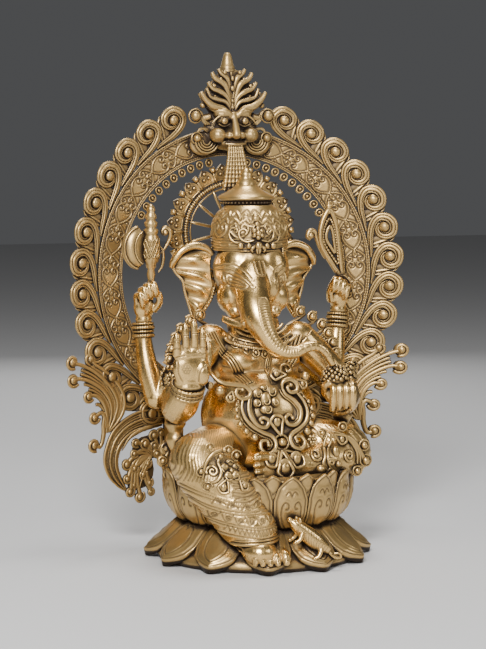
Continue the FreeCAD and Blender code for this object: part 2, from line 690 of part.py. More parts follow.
def make_jewellery():
    """Collar, thread, the large chest ornament with its drops, shoulder scrolls and knee flowers."""
    collar = solid("Torus", "collar_ring", "0", "Dims.chest_y - 10", "Dims.chest_z + 26",
                   Rotation(Vector(1, 0, 0), 25), Radius1="34", Radius2="3.2")
    collar.Angle1, collar.Angle2, collar.Angle3 = -180, 180, 360
    part("collar", cut("collar_cut", collar, ball("collar_chest", "chest", "54", "36", "48"),
                       ball("collar_head", "head", "43", "38", "44")))
    part("sacred_thread", shell_band("thread", 198, 204, 1.6))
    part("pectoral_frame", shell_band("frame", 134, 190, 4.0))
    drops = []
    for dx, dz, long in ((-13, -36, 9), (0, -40, 12), (13, -36, 9)):
        drop = ball("drop", "pectoral", "6.5", "3.5", str(long), None, dx, -7, dz)
        drops.append(drop)
    part("pectoral_drops", group("drops", drops))
    curls = []
    for side in (-1, 1):
        for x, y, z, size in ((84, 26, 266, 6), (92, 23, 256, 6), (99, 21, 245, 6.5), (103, 19, 233, 7)):
            curls.append(solid("Sphere", "shoulder_curl", str(side * x), str(y), str(z), Radius=str(size)))
    part("shoulder_scrolls", group("shoulder_set", curls))
    flowers = [solid("Cylinder", "flower_right", "-77", "-76", "122", Rotation(Vector(1, -0.6, 0), 80),
                     Radius="13", Height="5"),
               solid("Cylinder", "flower_left", "84", "-68", "118", Rotation(Vector(1, 0, 0), 90),
                     Radius="14", Height="5")]
    rooms = [limb("thigh_right"), limb("shin_right"), knuckle("thigh_right", -1, "26"), limb("thigh_left"),
             knuckle("thigh_left", -1, "28"), limb("shin_left")]
    part("knee_flowers", group("flower_set", [cut("flower_one", flowers[0], *rooms[:3]),
                                              cut("flower_two", flowers[1], *rooms[3:])]))


def make_tusks():
    """The broken tusk on the right, and the whole one on the left."""
    turn = Rotation(Vector(1, 0.25, 0), 105)
    short = solid("Cone", "tusk_short", "-27", "-10", "268", turn, Radius1="4.2", Radius2="3.4", Height="16")
    long = solid("Cone", "tusk_long", "14", "-12", "268", turn, Radius1="4.2", Radius2="1.5", Height="26")
    head_turn = Rotation(Vector(0, 0, 1), -V["head_turn"])
    rooms = [ball("tusk_head", "head", "43", "38", "44", head_turn),
             ball("tusk_cheek_one", "head", "17", "22", "20", head_turn, -24, -12, -20),
             ball("tusk_cheek_two", "head", "17", "22", "20", head_turn, 17, -15, -20), limb("trunk")]
    part("tusks", group("tusk_pair", [cut("tusk_one", short, *rooms), cut("tusk_two", long, *rooms)]))


# --- arch -------------------------------------------------------------------------------------------

UPRIGHT = Rotation(Vector(1, 1, 1), -120)  # turns a bar's X to up, its Y to the left side and its Z to the back


def bend_shell(thick):
    """The curved sheet the arch is cut from: a wall of a tall drum behind the figure."""
    drum = solid("Cylinder", "drum", "0", "Dims.arch_back - Dims.arch_bend", "0", Radius="arch_bend", Height="600")
    core = solid("Cylinder", "drum_core", "0", "Dims.arch_back - Dims.arch_bend", "-1",
                 Radius=f"Dims.arch_bend - {thick}", Height="610")
    return cut("drum_wall", drum, core)


def arch_place(radius, angle, forward):
    """Where a piece at a radius and an angle from the top lies on the arch, and how it turns with it."""
    x = radius * math.sin(math.radians(angle))
    z = V["arch_middle"] + radius * math.cos(math.radians(angle))
    reach = V["arch_bend"] - forward
    lean = math.asin(x / reach)
    y = V["arch_back"] - V["arch_bend"] + reach * math.cos(lean)
    return Vector(reach * math.sin(lean), y, z), Rotation(Vector(0, 0, 1), -math.degrees(lean))


def make_arch_band():
    """Half of the flat band, from the top to below the elbow."""
    pieces = []
    for name, radius in (("band_out", "arch_outer"), ("band_in", "arch_inner")):
        bar = solid("Cylinder", name, "0", "-40", "arch_middle", UPRIGHT, Radius=radius, Height="200",
                    Angle="arch_sweep")
        pieces.append(bar)
    band = common("band_bent", cut("band_flat", *pieces), bend_shell("Dims.arch_thick"))
    part("arch_band_left", band)
    part("arch_band_right", mirror("band_mirror", band))


def make_arch_scrolls():
    """The crest of curled scrolls outside the band: a ring, a ball and a stem each."""
    scrolls = []
    for number in range(V["scroll_count"]):
        angle = V["scroll_first"] + V["scroll_step"] * number
        middle, turn = arch_place(V["scroll_circle"], angle, V["arch_thick"] / 2)
        root, _ = arch_place(V["arch_outer"] + V["stem_gap"], angle, V["arch_thick"] / 2)
        facing = turn.multiply(Rotation(Vector(1, 0, 0), 90))
        ring = solid("Torus", "scroll_ring", Radius1="scroll_size", Radius2="scroll_wire")
        ring.Angle1, ring.Angle2, ring.Angle3 = -180, 180, 360
        ring.Placement = FreeCAD.Placement(middle, facing)
        centre = solid("Cylinder", "scroll_disc", Radius="Dims.scroll_size", Height="2")
        centre.Placement = FreeCAD.Placement(middle + turn.multVec(Vector(0, 1, 0)), facing)
        boss = solid("Sphere", "scroll_ball", Radius="scroll_ball")
        boss.Placement = FreeCAD.Placement(middle, turn)
        stem = solid("Cylinder", "scroll_stem", Radius="2.4", Height=str((middle - root).Length - V["scroll_size"]))
        stem.Placement = FreeCAD.Placement(root, Rotation(Vector(0, 0, 1), middle - root))
        scrolls.append(fuse("scroll", [ring, centre, boss, stem]))
    crest = group("crest_left", scrolls)
    part("arch_scrolls_left", crest)
    part("arch_scrolls_right", mirror("crest_mirror", crest))


def make_arch_beads():
    """The row of round beads inside the band."""
    beads = []
    for side in (1, -1):
        for number in range(V["bead_count"]):
            middle, turn = arch_place(V["bead_circle"], V["bead_first"] + V["bead_step"] * number, 5.0)
            bead = solid("Cylinder", "bead", Radius="bead_radius", Height="4")
            place_at = Vector(side * middle.x, middle.y + 2, middle.z)
            bead.Placement = FreeCAD.Placement(place_at, Rotation(Vector(1, 0, 0), 90))
            beads.append(bead)
    part("arch_beads", group("bead_row", beads))


def plate(name, outline, y, depth):
    """A body padded forward from a closed outline of (x, height) corners that stands at y."""
    body = doc.addObject("PartDesign::Body", name)
    sketch = sketch_on(body, f"{name}_outline", "XZ_Plane")
    corners = [Vector(x, z, 0) for x, z in outline]
    for start, end in zip(corners, corners[1:] + corners[:1]):
        sketch.addGeometry(Part.LineSegment(start, end))
    pad = body.newObject("PartDesign::Pad", f"{name}_pad")
    pad.Profile = sketch
    pad.setExpression("Length", f"Dims.{depth}")
    body.Placement = FreeCAD.Placement(Vector(0, y, 0), Rotation())
    return body


def make_wings():
    """The plumed wings at the foot of the arch, bent with it."""
    inside = V["arch_outer"] + V["gap"]
    band_room = solid("Cylinder", "wing_band_room", "0", "-40", "arch_middle", UPRIGHT, Radius=str(inside),
                      Height="200", Angle="arch_sweep")
    flat = cut("wing_flat", plate("wing_plate", WING, 120, "wing_reach"),
               plate("wing_window", WING_GAP, 121, "wing_reach"), band_room)
    wing = common("wing_bent", flat, bend_shell("Dims.wing_thick"))
    part("wing_left", wing)
    part("wing_right", mirror("wing_mirror", wing))


def make_mask():
    """The lion-like mask at the top, its finial, and the strings of beads that fall from its mouth."""
    face = ball("mask_face", "mask", "30", "13", "34")
    brow = ball("mask_brow", "mask", "42", "8", "26", None, 0, 5, 18)
    crest = ball("mask_crest", "mask", "24", "7", "34", None, 0, 7, 40)
    jowls = [ball("mask_jowl", "mask", "22", "9", "16", None, side * 24, 4, -16) for side in (-1, 1)]
    behind = solid("Box", "behind_mask", "-100", "mask_back", "400", Length="200", Width="60", Height="200")
    above = solid("Box", "above_mask", "-100", "0", "Dims.finial_z", Length="200", Width="200", Height="60")
    part("mask", cut("mask_cut", fuse("mask_all", [face, brow, crest, *jowls]), behind, above))
    finial = turned("finial_body", [(0, 0), (8, 0), (8.5, 3), (6.5, 5), (7, 7), (5.5, 12), (4, 19), (2.5, 23), (0, 24)])
    place(finial, "finial_x", "finial_y", "finial_z")
    part("mask_finial", finial)
    strings = []
    for number in range(5):
        lean = Rotation(Vector(0, 1, 0), 180 + 8 * (number - 2))
        string = solid("Cone", "tassel_string", Radius1="2.2", Radius2="3", Height="27")
        string.Placement = FreeCAD.Placement(Vector(2.5 * (number - 2), 70, 441), lean)
        strings.append(string)
    part("mask_tassel", group("tassel", strings))


def seat_bolt(name, x, radius, start, length):
    """A round bar through the back of the seat at one bolt's place, from start toward the front."""
    return solid("Cylinder", name, str(x), str(start), "bolt_level", Rotation(Vector(1, 0, 0), 90), Radius=radius,
                 Height=str(length))


def seat_hex(name, x, start):
    """A plain hexagon block on a bolt's line, for its head or its nut."""
    block = doc.addObject("Part::Prism", name)
    block.Polygon = 6
    bind(block, Circumradius="6", Height="4")
    return place(block, str(x), str(start), "bolt_level", Rotation(Vector(1, 0, 0), 90))


def make_arch_foot():
    """The bent plate that carries both halves of the arch behind the seat, and its bolts and nuts."""
    blank = solid("Box", "foot_blank", "-Dims.bar_width / 2", "60", "bar_foot", Length="bar_width", Width="60",
                  Height="Dims.bar_top - Dims.bar_foot")
    gap = solid("Box", "foot_gap", "-Dims.bar_gap / 2", "50", "bar_cross", Length="bar_gap", Width="80",
                Height="100")
    sides = (-V["bolt_spread"] / 2, V["bolt_spread"] / 2)
    holes = [seat_bolt("foot_hole", x, "3.2", 112, 40) for x in sides]
    part("arch_foot", cut("foot_cut", common("foot_bent", blank, bend_shell("Dims.arch_thick")), gap, *holes))
    bolts = [fuse("bolt", [seat_bolt("bolt_shank", x, "bolt_radius", 108, V["bolt_length"]),
                           seat_hex("bolt_head", x, 108)]) for x in sides]
    nuts = [cut("nut_bored", seat_hex("seat_nut", x, 86), seat_bolt("nut_bore", x, "bolt_radius", 100, 30))
            for x in sides]
    part("arch_bolts", group("arch_bolt_set", [*bolts, *nuts]))


def make_mouse():
    """The mouse that climbs the lower petals beside the foot."""
    part("mouse", fuse("mouse_all", [limb("mouse"), knuckle("mouse", 0, "3.2"), knuckle("mouse", -1, "5.2")]))


# Pieces that sit on others: each is cut to the finished neighbours it would otherwise run into.
FITS = {
    "seat_core": ["leg_right", "leg_left"],
    "seat_petals_inner": ["leg_right", "leg_left"],
    "seat_petals_outer": ["leg_right", "leg_left"],
    "foot_right": ["lotus_plinth"],
    "foot_left": ["seat_deck"],
    "torso": ["centre_rod", "rod_fixings"],
    "trunk": ["torso"],
    "pectoral_frame": ["leg_right"],
    "pectoral_drops": ["leg_left", "leg_right", "foot_left"],
    "hand_rear_right": ["axe_handle"],
    "bangles": ["arm_front_right", "arm_front_left"],
    "armlets": ["arm_front_right", "arm_front_left"],
    "wing_left": ["arch_scrolls_left", "arch_foot"],
    "wing_right": ["arch_scrolls_right", "arch_foot"],
}


def fit_pieces():
    """Cuts each sub-part of FITS to its neighbours."""
    for label, neighbours in FITS.items():
        blank = PARTS[label]
        blank.Label = f"{label}_blank"
        part(label, cut(f"{label}_fitted", blank, *[PARTS[name] for name in neighbours]))


def main():
    """Builds the idol, checks every object and writes one STEP file for each sub-part."""
    make_base()
    part("torso", make_torso())
    make_legs(PARTS["torso"])
    make_head()
    make_ears()
    make_tusks()
    make_crown()
    make_halo()
    make_arms()
    make_bangles()
    make_attributes()
    make_jewellery()
    make_arch_band()
    make_arch_scrolls()
    make_arch_beads()
    make_wings()
    make_mask()
    make_arch_foot()
    make_mouse()
    fit_pieces()
    doc.recompute()
    failed = [item.Name for item in doc.Objects if {"Invalid", "Error"} & set(item.State)]
    if failed:
        raise RuntimeError(f"these objects didn't compute: {failed}")
    for label, item in PARTS.items():
        if item.Shape.isNull() or not item.Shape.isValid() or not item.Shape.Solids:
            raise RuntimeError(f"{label} has no valid solid")
    os.makedirs("parts", exist_ok=True)
    for label, item in PARTS.items():
        item.Shape.exportStep(os.path.join("parts", f"{label}.step"))
        print(label, len(item.Shape.Solids), round(item.Shape.Volume / 1000, 1), "cm3")


main()
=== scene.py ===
"""Seated Ganesha idol in antique brass, on a lotus base and in front of a scrolled arch.

Every size and place here is in millimetres in the CAD's frame, and becomes metres when a mesh is made.
The figure faces -Y and +Z is up. Right and left are the figure's own: its right side is at -X.
"""

import math

import bmesh
import bpy
import numpy as np
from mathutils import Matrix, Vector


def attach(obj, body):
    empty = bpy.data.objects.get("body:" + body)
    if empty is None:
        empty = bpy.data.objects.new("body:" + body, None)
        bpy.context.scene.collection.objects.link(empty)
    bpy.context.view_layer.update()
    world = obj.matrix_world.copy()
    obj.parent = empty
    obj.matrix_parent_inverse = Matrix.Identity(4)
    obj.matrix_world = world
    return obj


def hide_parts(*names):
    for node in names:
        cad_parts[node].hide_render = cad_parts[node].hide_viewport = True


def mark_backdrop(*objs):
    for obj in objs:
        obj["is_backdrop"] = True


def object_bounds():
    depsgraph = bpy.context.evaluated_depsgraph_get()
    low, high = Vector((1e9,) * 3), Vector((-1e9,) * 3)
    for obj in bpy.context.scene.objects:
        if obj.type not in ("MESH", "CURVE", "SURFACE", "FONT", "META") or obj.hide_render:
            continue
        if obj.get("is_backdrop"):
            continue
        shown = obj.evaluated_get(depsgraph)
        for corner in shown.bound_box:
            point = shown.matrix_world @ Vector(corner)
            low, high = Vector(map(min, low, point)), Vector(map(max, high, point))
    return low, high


bl_info = {
    "name": "Brass Ganesha Idol",
    "version": (1, 0, 0),
    "blender": (4, 5, 0),
    "location": "View3D > Sidebar > Idol",
    "description": "Builds a cast and chased brass idol around its CAD frame",
    "category": "Object",
}

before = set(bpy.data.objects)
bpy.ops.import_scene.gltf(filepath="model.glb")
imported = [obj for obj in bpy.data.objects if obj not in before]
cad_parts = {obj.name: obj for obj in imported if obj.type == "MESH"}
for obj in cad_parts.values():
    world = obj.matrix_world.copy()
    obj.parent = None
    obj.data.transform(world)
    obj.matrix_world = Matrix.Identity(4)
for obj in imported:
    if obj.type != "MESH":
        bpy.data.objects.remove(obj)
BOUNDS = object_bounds()
MM = 0.001
TAU = 2 * math.pi


# --- sizes and colours ------------------------------------------------------------------------------


class BrassFinish(bpy.types.PropertyGroup):
    """Colours and polish of the antique brass, and the dark colour laid on as patina and as painted shade."""

    brass: bpy.props.FloatVectorProperty(
        name="Brass", description="Polished metal on the high places", subtype="COLOR", size=3,
        default=(0.74, 0.49, 0.185), min=0, max=1)
    # Dark colour of patina and of painted shade: the occlusion darkening, the chased grooves and the dark
    # backing sheets are all painted with it.
    patina_and_shade: bpy.props.FloatVectorProperty(
        name="Tarnish", description="Dark wax and oxide left in the low places", subtype="COLOR", size=3,
        default=(0.030, 0.016, 0.007), min=0, max=1)
    polish: bpy.props.FloatProperty(
        name="Roughness", description="Roughness of the polished metal", default=0.27, min=0.05, max=1)
    # Distance of the occlusion test that paints shade near corners, other pieces and the floor.
    reach: bpy.props.FloatProperty(
        name="Tarnish reach", description="How far from a corner the tarnish spreads", default=0.010,
        unit="LENGTH", subtype="DISTANCE")


class ArchSizes(bpy.types.PropertyGroup):
    """Sizes of the arch, in millimetres."""

    middle: bpy.props.FloatProperty(name="Middle", description="Height of the arch's centre", default=310.0)
    inner: bpy.props.FloatProperty(name="Inner radius", description="Radius of the band's inner rim",
                                   default=133.0)
    outer: bpy.props.FloatProperty(name="Outer radius", description="Radius of the band's outer rim",
                                   default=164.0)
    sweep: bpy.props.FloatProperty(name="Sweep", description="Angle of each half of the band", default=152.0)
    back: bpy.props.FloatProperty(name="Back", description="How far behind the middle the arch stands",
                                  default=104.0)
    bend: bpy.props.FloatProperty(name="Bend", description="Radius that the arch is bent to", default=450.0)
    scrolls: bpy.props.IntProperty(name="Scrolls", description="Crest scrolls on each side", default=13,
                                   min=1)
    hearts: bpy.props.IntProperty(name="Hearts", description="Heart motifs on each half", default=11, min=1)


class LotusSizes(bpy.types.PropertyGroup):
    """Sizes of the two lotus tiers, in millimetres."""

    lower_count: bpy.props.IntProperty(name="Lower petals", description="Petals of the plinth", default=12,
                                       min=3)
    upper_count: bpy.props.IntProperty(name="Upper petals", description="Petals in each row of the seat",
                                       default=16)
    lower_tip: bpy.props.FloatProperty(name="Plinth reach", description="Radius to the plinth's tips",
                                       default=128.0)


# --- curves -----------------------------------------------------------------------------------------


def unit(vectors):
    """Each vector divided by its length."""
    return vectors / np.maximum(np.linalg.norm(vectors, axis=-1, keepdims=True), 1e-9)


def spline(stations, count):
    """Smooth curve through rows of numbers: on each span a cubic whose ends lean along the neighbours'
    chord, sampled at count even steps of the row number."""
    rows = np.asarray(stations, float)
    last = len(rows) - 1
    t = np.linspace(0, last, count)
    i = np.minimum(t.astype(int), last - 1)
    f = (t - i)[:, None]
    a, b = rows[i], rows[i + 1]
    before, after = rows[np.maximum(i - 1, 0)], rows[np.minimum(i + 2, last)]
    lean_a, lean_b = (b - before) / 2, (after - a) / 2
    return (a * (2 * f**3 - 3 * f**2 + 1) + b * (3 * f**2 - 2 * f**3)
            + lean_a * (f**3 - 2 * f**2 + f) + lean_b * (f**3 - f**2))


def swell(count, shares, sizes):
    """Sizes over count even steps from 0 to 1, straight from each (share, size) corner to the next."""
    return np.interp(np.linspace(0, 1, count), shares, sizes)


def spiral(middle, start, end, first, turns, count=40):
    """Flat spiral (across, up): the radius goes evenly from start to end while the angle turns."""
    angle = first + TAU * turns * np.linspace(0, 1, count)
    radius = np.linspace(start, end, count)
    return np.stack([middle[0] + radius * np.cos(angle), middle[1] + radius * np.sin(angle)], -1)


def standing(path, depth=0.0):
    """A flat path (across, up) stood up in the XZ plane at a depth, which may vary along it."""
    return np.stack([path[:, 0], np.broadcast_to(depth, len(path)).astype(float), path[:, 1]], -1)


def circle(count):
    """Even angles round a circle."""
    return np.linspace(0, TAU, count, endpoint=False)


def mirrored(lines, flip):
    """Flat lines, and the same lines times flip."""
    return lines + [line * flip for line in lines]


def nearness(points, curves):
    """Distance from each flat point to the nearest sample of any curve."""
    samples = np.concatenate([np.asarray(curve, float) for curve in curves])
    shape = points.shape[:-1]
    flat = points.reshape(-1, points.shape[-1])
    best = np.full(len(flat), 1e9)
    for part in np.array_split(np.arange(len(flat)), max(1, len(flat) * len(samples) // 4000000 + 1)):
        gaps = flat[part, None] - samples[None]
        best[part] = np.sqrt((gaps**2).sum(-1)).min(1)
    return best.reshape(shape)


def turned(points, angle, pivot=(0, 0, 0), axis=2):
    """Points turned by an angle in degrees about an axis through a pivot."""
    a, b = [(1, 2), (2, 0), (0, 1)][axis]
    c, s = math.cos(math.radians(angle)), math.sin(math.radians(angle))
    moved = np.asarray(points, float) - pivot
    out = moved.copy()
    out[..., a] = c * moved[..., a] - s * moved[..., b]
    out[..., b] = s * moved[..., a] + c * moved[..., b]
    return out + pivot


def flipped(points):
    """The same points on the other side of the YZ plane."""
    return points * np.array([-1.0, 1.0, 1.0])


# --- surfaces ---------------------------------------------------------------------------------------


def rod(path, radius, facing=(0, -1, 0), sides=8, flat=1.0):
    """Tube: at each station a ring of radius round the path, squeezed by flat along the facing side."""
    path = np.asarray(path, float)
    along = unit(np.gradient(path, axis=0))
    side = unit(np.cross(along, np.asarray(facing, float)))
    up = np.cross(side, along)
    size = np.broadcast_to(np.asarray(radius, float), (len(path),))[:, None, None]
    angle = circle(sides)[None, :, None]
    return path[:, None] + size * (np.cos(angle) * side[:, None] + flat * np.sin(angle) * up[:, None])


def upright(path, depth, radius, sides=8, flat=1.0):
    """A rod along a flat path (across, up) that is stood up at a depth."""
    return rod(standing(path, depth), radius, sides=sides, flat=flat)


def orb(middle, size, rows=9, sides=14):
    """Ellipsoid: rings from the low pole to the high one, with half-sizes along X, Y and Z."""
    size = np.broadcast_to(np.asarray(size, float), (3,))
    rise = np.linspace(-math.pi / 2 * 0.97, math.pi / 2 * 0.97, rows)[:, None]
    angle = circle(sides)[None]
    ring = np.stack([np.cos(rise) * np.cos(angle), np.cos(rise) * np.sin(angle), np.sin(rise) + 0 * angle],
                    -1)
    return np.asarray(middle, float) + ring * size


def lathe(profile, middle, sides=48):
    """Surface turned about a vertical axis through middle, from (radius, height) corners."""
    profile = np.asarray(profile, float)
    angle = circle(sides)
    x = profile[:, :1] * np.cos(angle)
    y = profile[:, :1] * np.sin(angle)
    z = np.broadcast_to(profile[:, 1:], x.shape)
    return np.stack([x, y, z], -1) + np.asarray(middle, float)


def blade(spine, side, out, half, thick, cols=12, crown=0.0, relief=None):
    """Leaf with a thickness: the top runs across from -1 to 1 times half, raised by crown * (1 - t * t)
    and by relief(s, t), and the back lies thick below it. Rows are closed loops round the section."""
    spine = np.asarray(spine, float)
    rows = len(spine)
    side = np.broadcast_to(np.asarray(side, float), spine.shape)
    out = np.broadcast_to(np.asarray(out, float), spine.shape)
    half = np.broadcast_to(np.asarray(half, float), (rows,))
    s = np.linspace(0, 1, rows)[:, None]
    t = np.linspace(-1, 1, cols)[None]
    rise = crown * (1 - t**2) * np.minimum(1, half / max(half.max(), 1e-6))[:, None]
    lift = rise + (relief(s, t) if relief else 0 * s * t)
    under = np.linspace(0.9, -0.9, max(3, cols // 3))[None]
    top = spine[:, None] + side[:, None] * (half[:, None] * t)[..., None] + out[:, None] * lift[..., None]
    floor = (crown * (1 - under**2) * np.minimum(1, half / max(half.max(), 1e-6))[:, None]) - thick
    back = spine[:, None] + side[:, None] * (half[:, None] * under)[..., None]
    return np.concatenate([top, back + out[:, None] * floor[..., None]], 1)


class Cast:
    """Collects closed surfaces for one piece, with how dark each vertex is painted, as patina and painted
    shade.
    """

    def __init__(self):
        self.points, self.quads, self.threes, self.dark, self.count = [], [], [], [], 0

    def add(self, grid, dark=0.0):
        """Adds rings of points: neighbours along and round become quads, and each end closes to a pole."""
        rows, cols = grid.shape[:2]
        at = np.arange(rows * cols).reshape(rows, cols) + self.count
        a, b = at[:-1], at[1:]
        self.quads.append(np.stack([a, np.roll(a, -1, 1), np.roll(b, -1, 1), b], -1).reshape(-1, 4))
        low, high = self.count + rows * cols, self.count + rows * cols + 1
        first, final = at[0], at[-1]
        self.threes.append(np.stack([np.roll(first, -1), first, np.full(cols, low)], -1))
        self.threes.append(np.stack([final, np.roll(final, -1), np.full(cols, high)], -1))
        self.points += [grid.reshape(-1, 3), grid[0].mean(0)[None], grid[-1].mean(0)[None]]
        shade = np.broadcast_to(dark, (rows, cols))
        self.dark += [shade.reshape(-1), shade[0, :1], shade[-1, :1]]
        self.count += rows * cols + 2
        return self

    def ball(self, *shape):
        """Adds an orb."""
        return self.add(orb(*shape))

    def add_closed(self, grid, dark=0.0):
        """Adds a grid that closes on itself both ways, such as a ring."""
        rows, cols = grid.shape[:2]
        a = np.arange(rows * cols).reshape(rows, cols) + self.count
        b = np.roll(a, -1, 0)
        self.quads.append(np.stack([a, np.roll(a, -1, 1), np.roll(b, -1, 1), b], -1).reshape(-1, 4))
        self.points.append(grid.reshape(-1, 3))
        self.dark.append(np.broadcast_to(dark, (rows, cols)).reshape(-1))
        self.count += rows * cols
        return self

    def join(self, other, move=None):
        """Adds another cast's surfaces, with its points moved by a function."""
        points = np.concatenate(other.points)
        self.points.append(move(points) if move else points)
        self.dark.append(np.concatenate(other.dark))
        self.quads += [quads + self.count for quads in other.quads]
        self.threes += [threes + self.count for threes in other.threes]
        self.count += other.count
        return self

    def mesh(self, name):
        """A mesh in metres with outward faces and its attribute of painted patina and shade."""
        mesh = bpy.data.meshes.new(name)
        points = np.concatenate(self.points) * MM
        quads = np.concatenate(self.quads)
        threes = np.concatenate(self.threes) if self.threes else np.zeros((0, 3), int)
        mesh.vertices.add(len(points))
        mesh.vertices.foreach_set("co", points.ravel())
        mesh.loops.add(quads.size + threes.size)
        mesh.loops.foreach_set("vertex_index",
                               np.concatenate([quads.ravel(), threes.ravel()]).astype(np.int32))
        sizes = np.concatenate([np.full(len(quads), 4), np.full(len(threes), 3)])
        mesh.polygons.add(len(sizes))
        mesh.polygons.foreach_set("loop_start", (np.cumsum(sizes) - sizes).astype(np.int32))
        mesh.update(calc_edges=True)
        write_dark(mesh, np.concatenate(self.dark))
        face_outward(mesh)
        return mesh


def write_dark(mesh, values):
    """Stores how dark each vertex is painted, as patina and painted shade, from 0 to 1."""
    layer = mesh.attributes.get("patina_and_shade") or mesh.attributes.new("patina_and_shade", "FLOAT", "POINT")
    layer.data.foreach_set("value", np.clip(values, 0, 1).astype(np.float32))


def face_outward(mesh):
    """Turns each closed shell's faces outwards and shades them smooth."""
    work = bmesh.new()
    work.from_mesh(mesh)
    bmesh.ops.recalc_face_normals(work, faces=work.faces)
    work.to_mesh(mesh)
    work.free()
    mesh.polygons.foreach_set("use_smooth", np.ones(len(mesh.polygons), bool))


def coordinates(mesh):
    """A mesh's vertices in millimetres, and its vertex normals."""
    points = np.empty(len(mesh.vertices) * 3)
    normals = np.empty(len(mesh.vertices) * 3)
    mesh.vertices.foreach_get("co", points)
    mesh.vertices.foreach_get("normal", normals)
    return points.reshape(-1, 3) / MM, normals.reshape(-1, 3)


def melt(cast, name, grain=1.0, smooth=4):
    """One skin round overlapping shapes: remeshed on a grid of grain millimetres, then evened."""
    mesh = cast.mesh(name)
    item = bpy.data.objects.new(name, mesh)
    bpy.context.scene.collection.objects.link(item)
    skin = item.modifiers.new("Skin", "REMESH")
    skin.mode = "VOXEL"
    skin.voxel_size = grain * MM
    even = item.modifiers.new("Even", "SMOOTH")
    even.factor = 0.5
    even.iterations = smooth
    depsgraph = bpy.context.evaluated_depsgraph_get()
    whole = bpy.data.meshes.new_from_object(item.evaluated_get(depsgraph))
    bpy.data.objects.remove(item)
    bpy.data.meshes.remove(mesh)
    whole.name = name
    whole.polygons.foreach_set("use_smooth", np.ones(len(whole.polygons), bool))
    write_dark(whole, np.zeros(len(whole.vertices)))
    return whole


def chase(mesh, curves, width=0.7, depth=0.6, keep=None, ridge=0.0, flat=True):
    """Chases lines into a skin: each vertex near a line moves in along its normal by a bell of its distance,
    and the groove is painted dark as patina and painted shade. flat measures the distance in the XZ plane."""
    points, normals = coordinates(mesh)
    seen = np.ones(len(points), bool) if keep is None else keep(points, normals)
    where = np.flatnonzero(seen)
    if not len(where):
        return
    axes = [0, 2] if flat else [0, 1, 2]
    gap = nearness(points[where][:, axes], curves)
    bell = np.exp(-((gap / width) ** 2))
    rim = np.exp(-(((gap - 1.9 * width) / width) ** 2))
    points[where] += normals[where] * (ridge * rim - depth * bell)[:, None]
    mesh.vertices.foreach_set("co", (points * MM).ravel())
    # Painted shade with patina in the chased groove.
    dark = np.zeros(len(points), np.float32)
    mesh.attributes["patina_and_shade"].data.foreach_get("value", dark)
    dark[where] = np.maximum(dark[where], bell)
    write_dark(mesh, dark)
    mesh.update()


# --- brass ------------------------------------------------------------------------------------------


class Value:
    """A number socket whose operators add Math nodes."""

    def __init__(self, shader, socket):
        self.shader, self.socket = shader, socket

    def _math(self, operation, a, b):
        return self.shader.add("ShaderNodeMath", {"operation": operation}, {0: a, 1: b})

    def __add__(self, other):
        return self._math("ADD", self, other)

    __radd__ = __add__

    def __mul__(self, other):
        return self._math("MULTIPLY", self, other)

    __rmul__ = __mul__

    def __sub__(self, other):
        return self._math("SUBTRACT", self, other)

    def __rsub__(self, other):
        return self._math("SUBTRACT", other, self)

    def at_least(self, other):
        """The larger of two values."""
        return self._math("MAXIMUM", self, other)


class Shader:
    """A material's node tree, built from expressions."""

    def __init__(self, name):
        self.material = bpy.data.materials.new(name)
        self.material.use_nodes = True
        self.tree = self.material.node_tree
        self.surface = self.tree.nodes["Principled BSDF"]

    def add(self, kind, settings=None, inputs=None, output=0):
        """Adds a node of a kind with its settings and the values or links of its sockets."""
        node = self.tree.nodes.new(kind)
        for name, value in (settings or {}).items():
            setattr(node, name, value)
        for name, value in (inputs or {}).items():
            self.feed(node.inputs[name], value)
        return Value(self, node.outputs[output])

    def feed(self, socket, value):
        """Links or sets a socket."""
        if isinstance(value, Value):
            self.tree.links.new(value.socket, socket)
        else:
            socket.default_value = value

    def set(self, **values):
        """Feeds the surface shader's sockets, named with underscores for spaces."""
        for name, value in values.items():
            self.feed(self.surface.inputs[name.replace("_", " ")], value)
        return self.material


# How dark each group of pieces is painted with patina and painted shade: depth is how soon the painted shade
# darkens a corner, base the least darkness of the clouds of patina, bright scales the metal's colour and
# mottle is how uneven the dark places are.
BRASS_LOOKS = {
    "brass_figure": {"depth": 0.95, "base": 0.0, "bright": 1.12, "mottle": 0.09},
    "brass_ornament": {"depth": 1.9, "base": 0.12, "bright": 1.0, "mottle": 0.25},
    "brass_base": {"depth": 1.6, "base": 0.18, "bright": 0.95, "mottle": 0.25},
    "brass_arch": {"depth": 2.3, "base": 0.30, "bright": 0.95, "mottle": 0.25},
}
# The occlusion value at which painted shade begins.
OPEN_AIR = 0.97


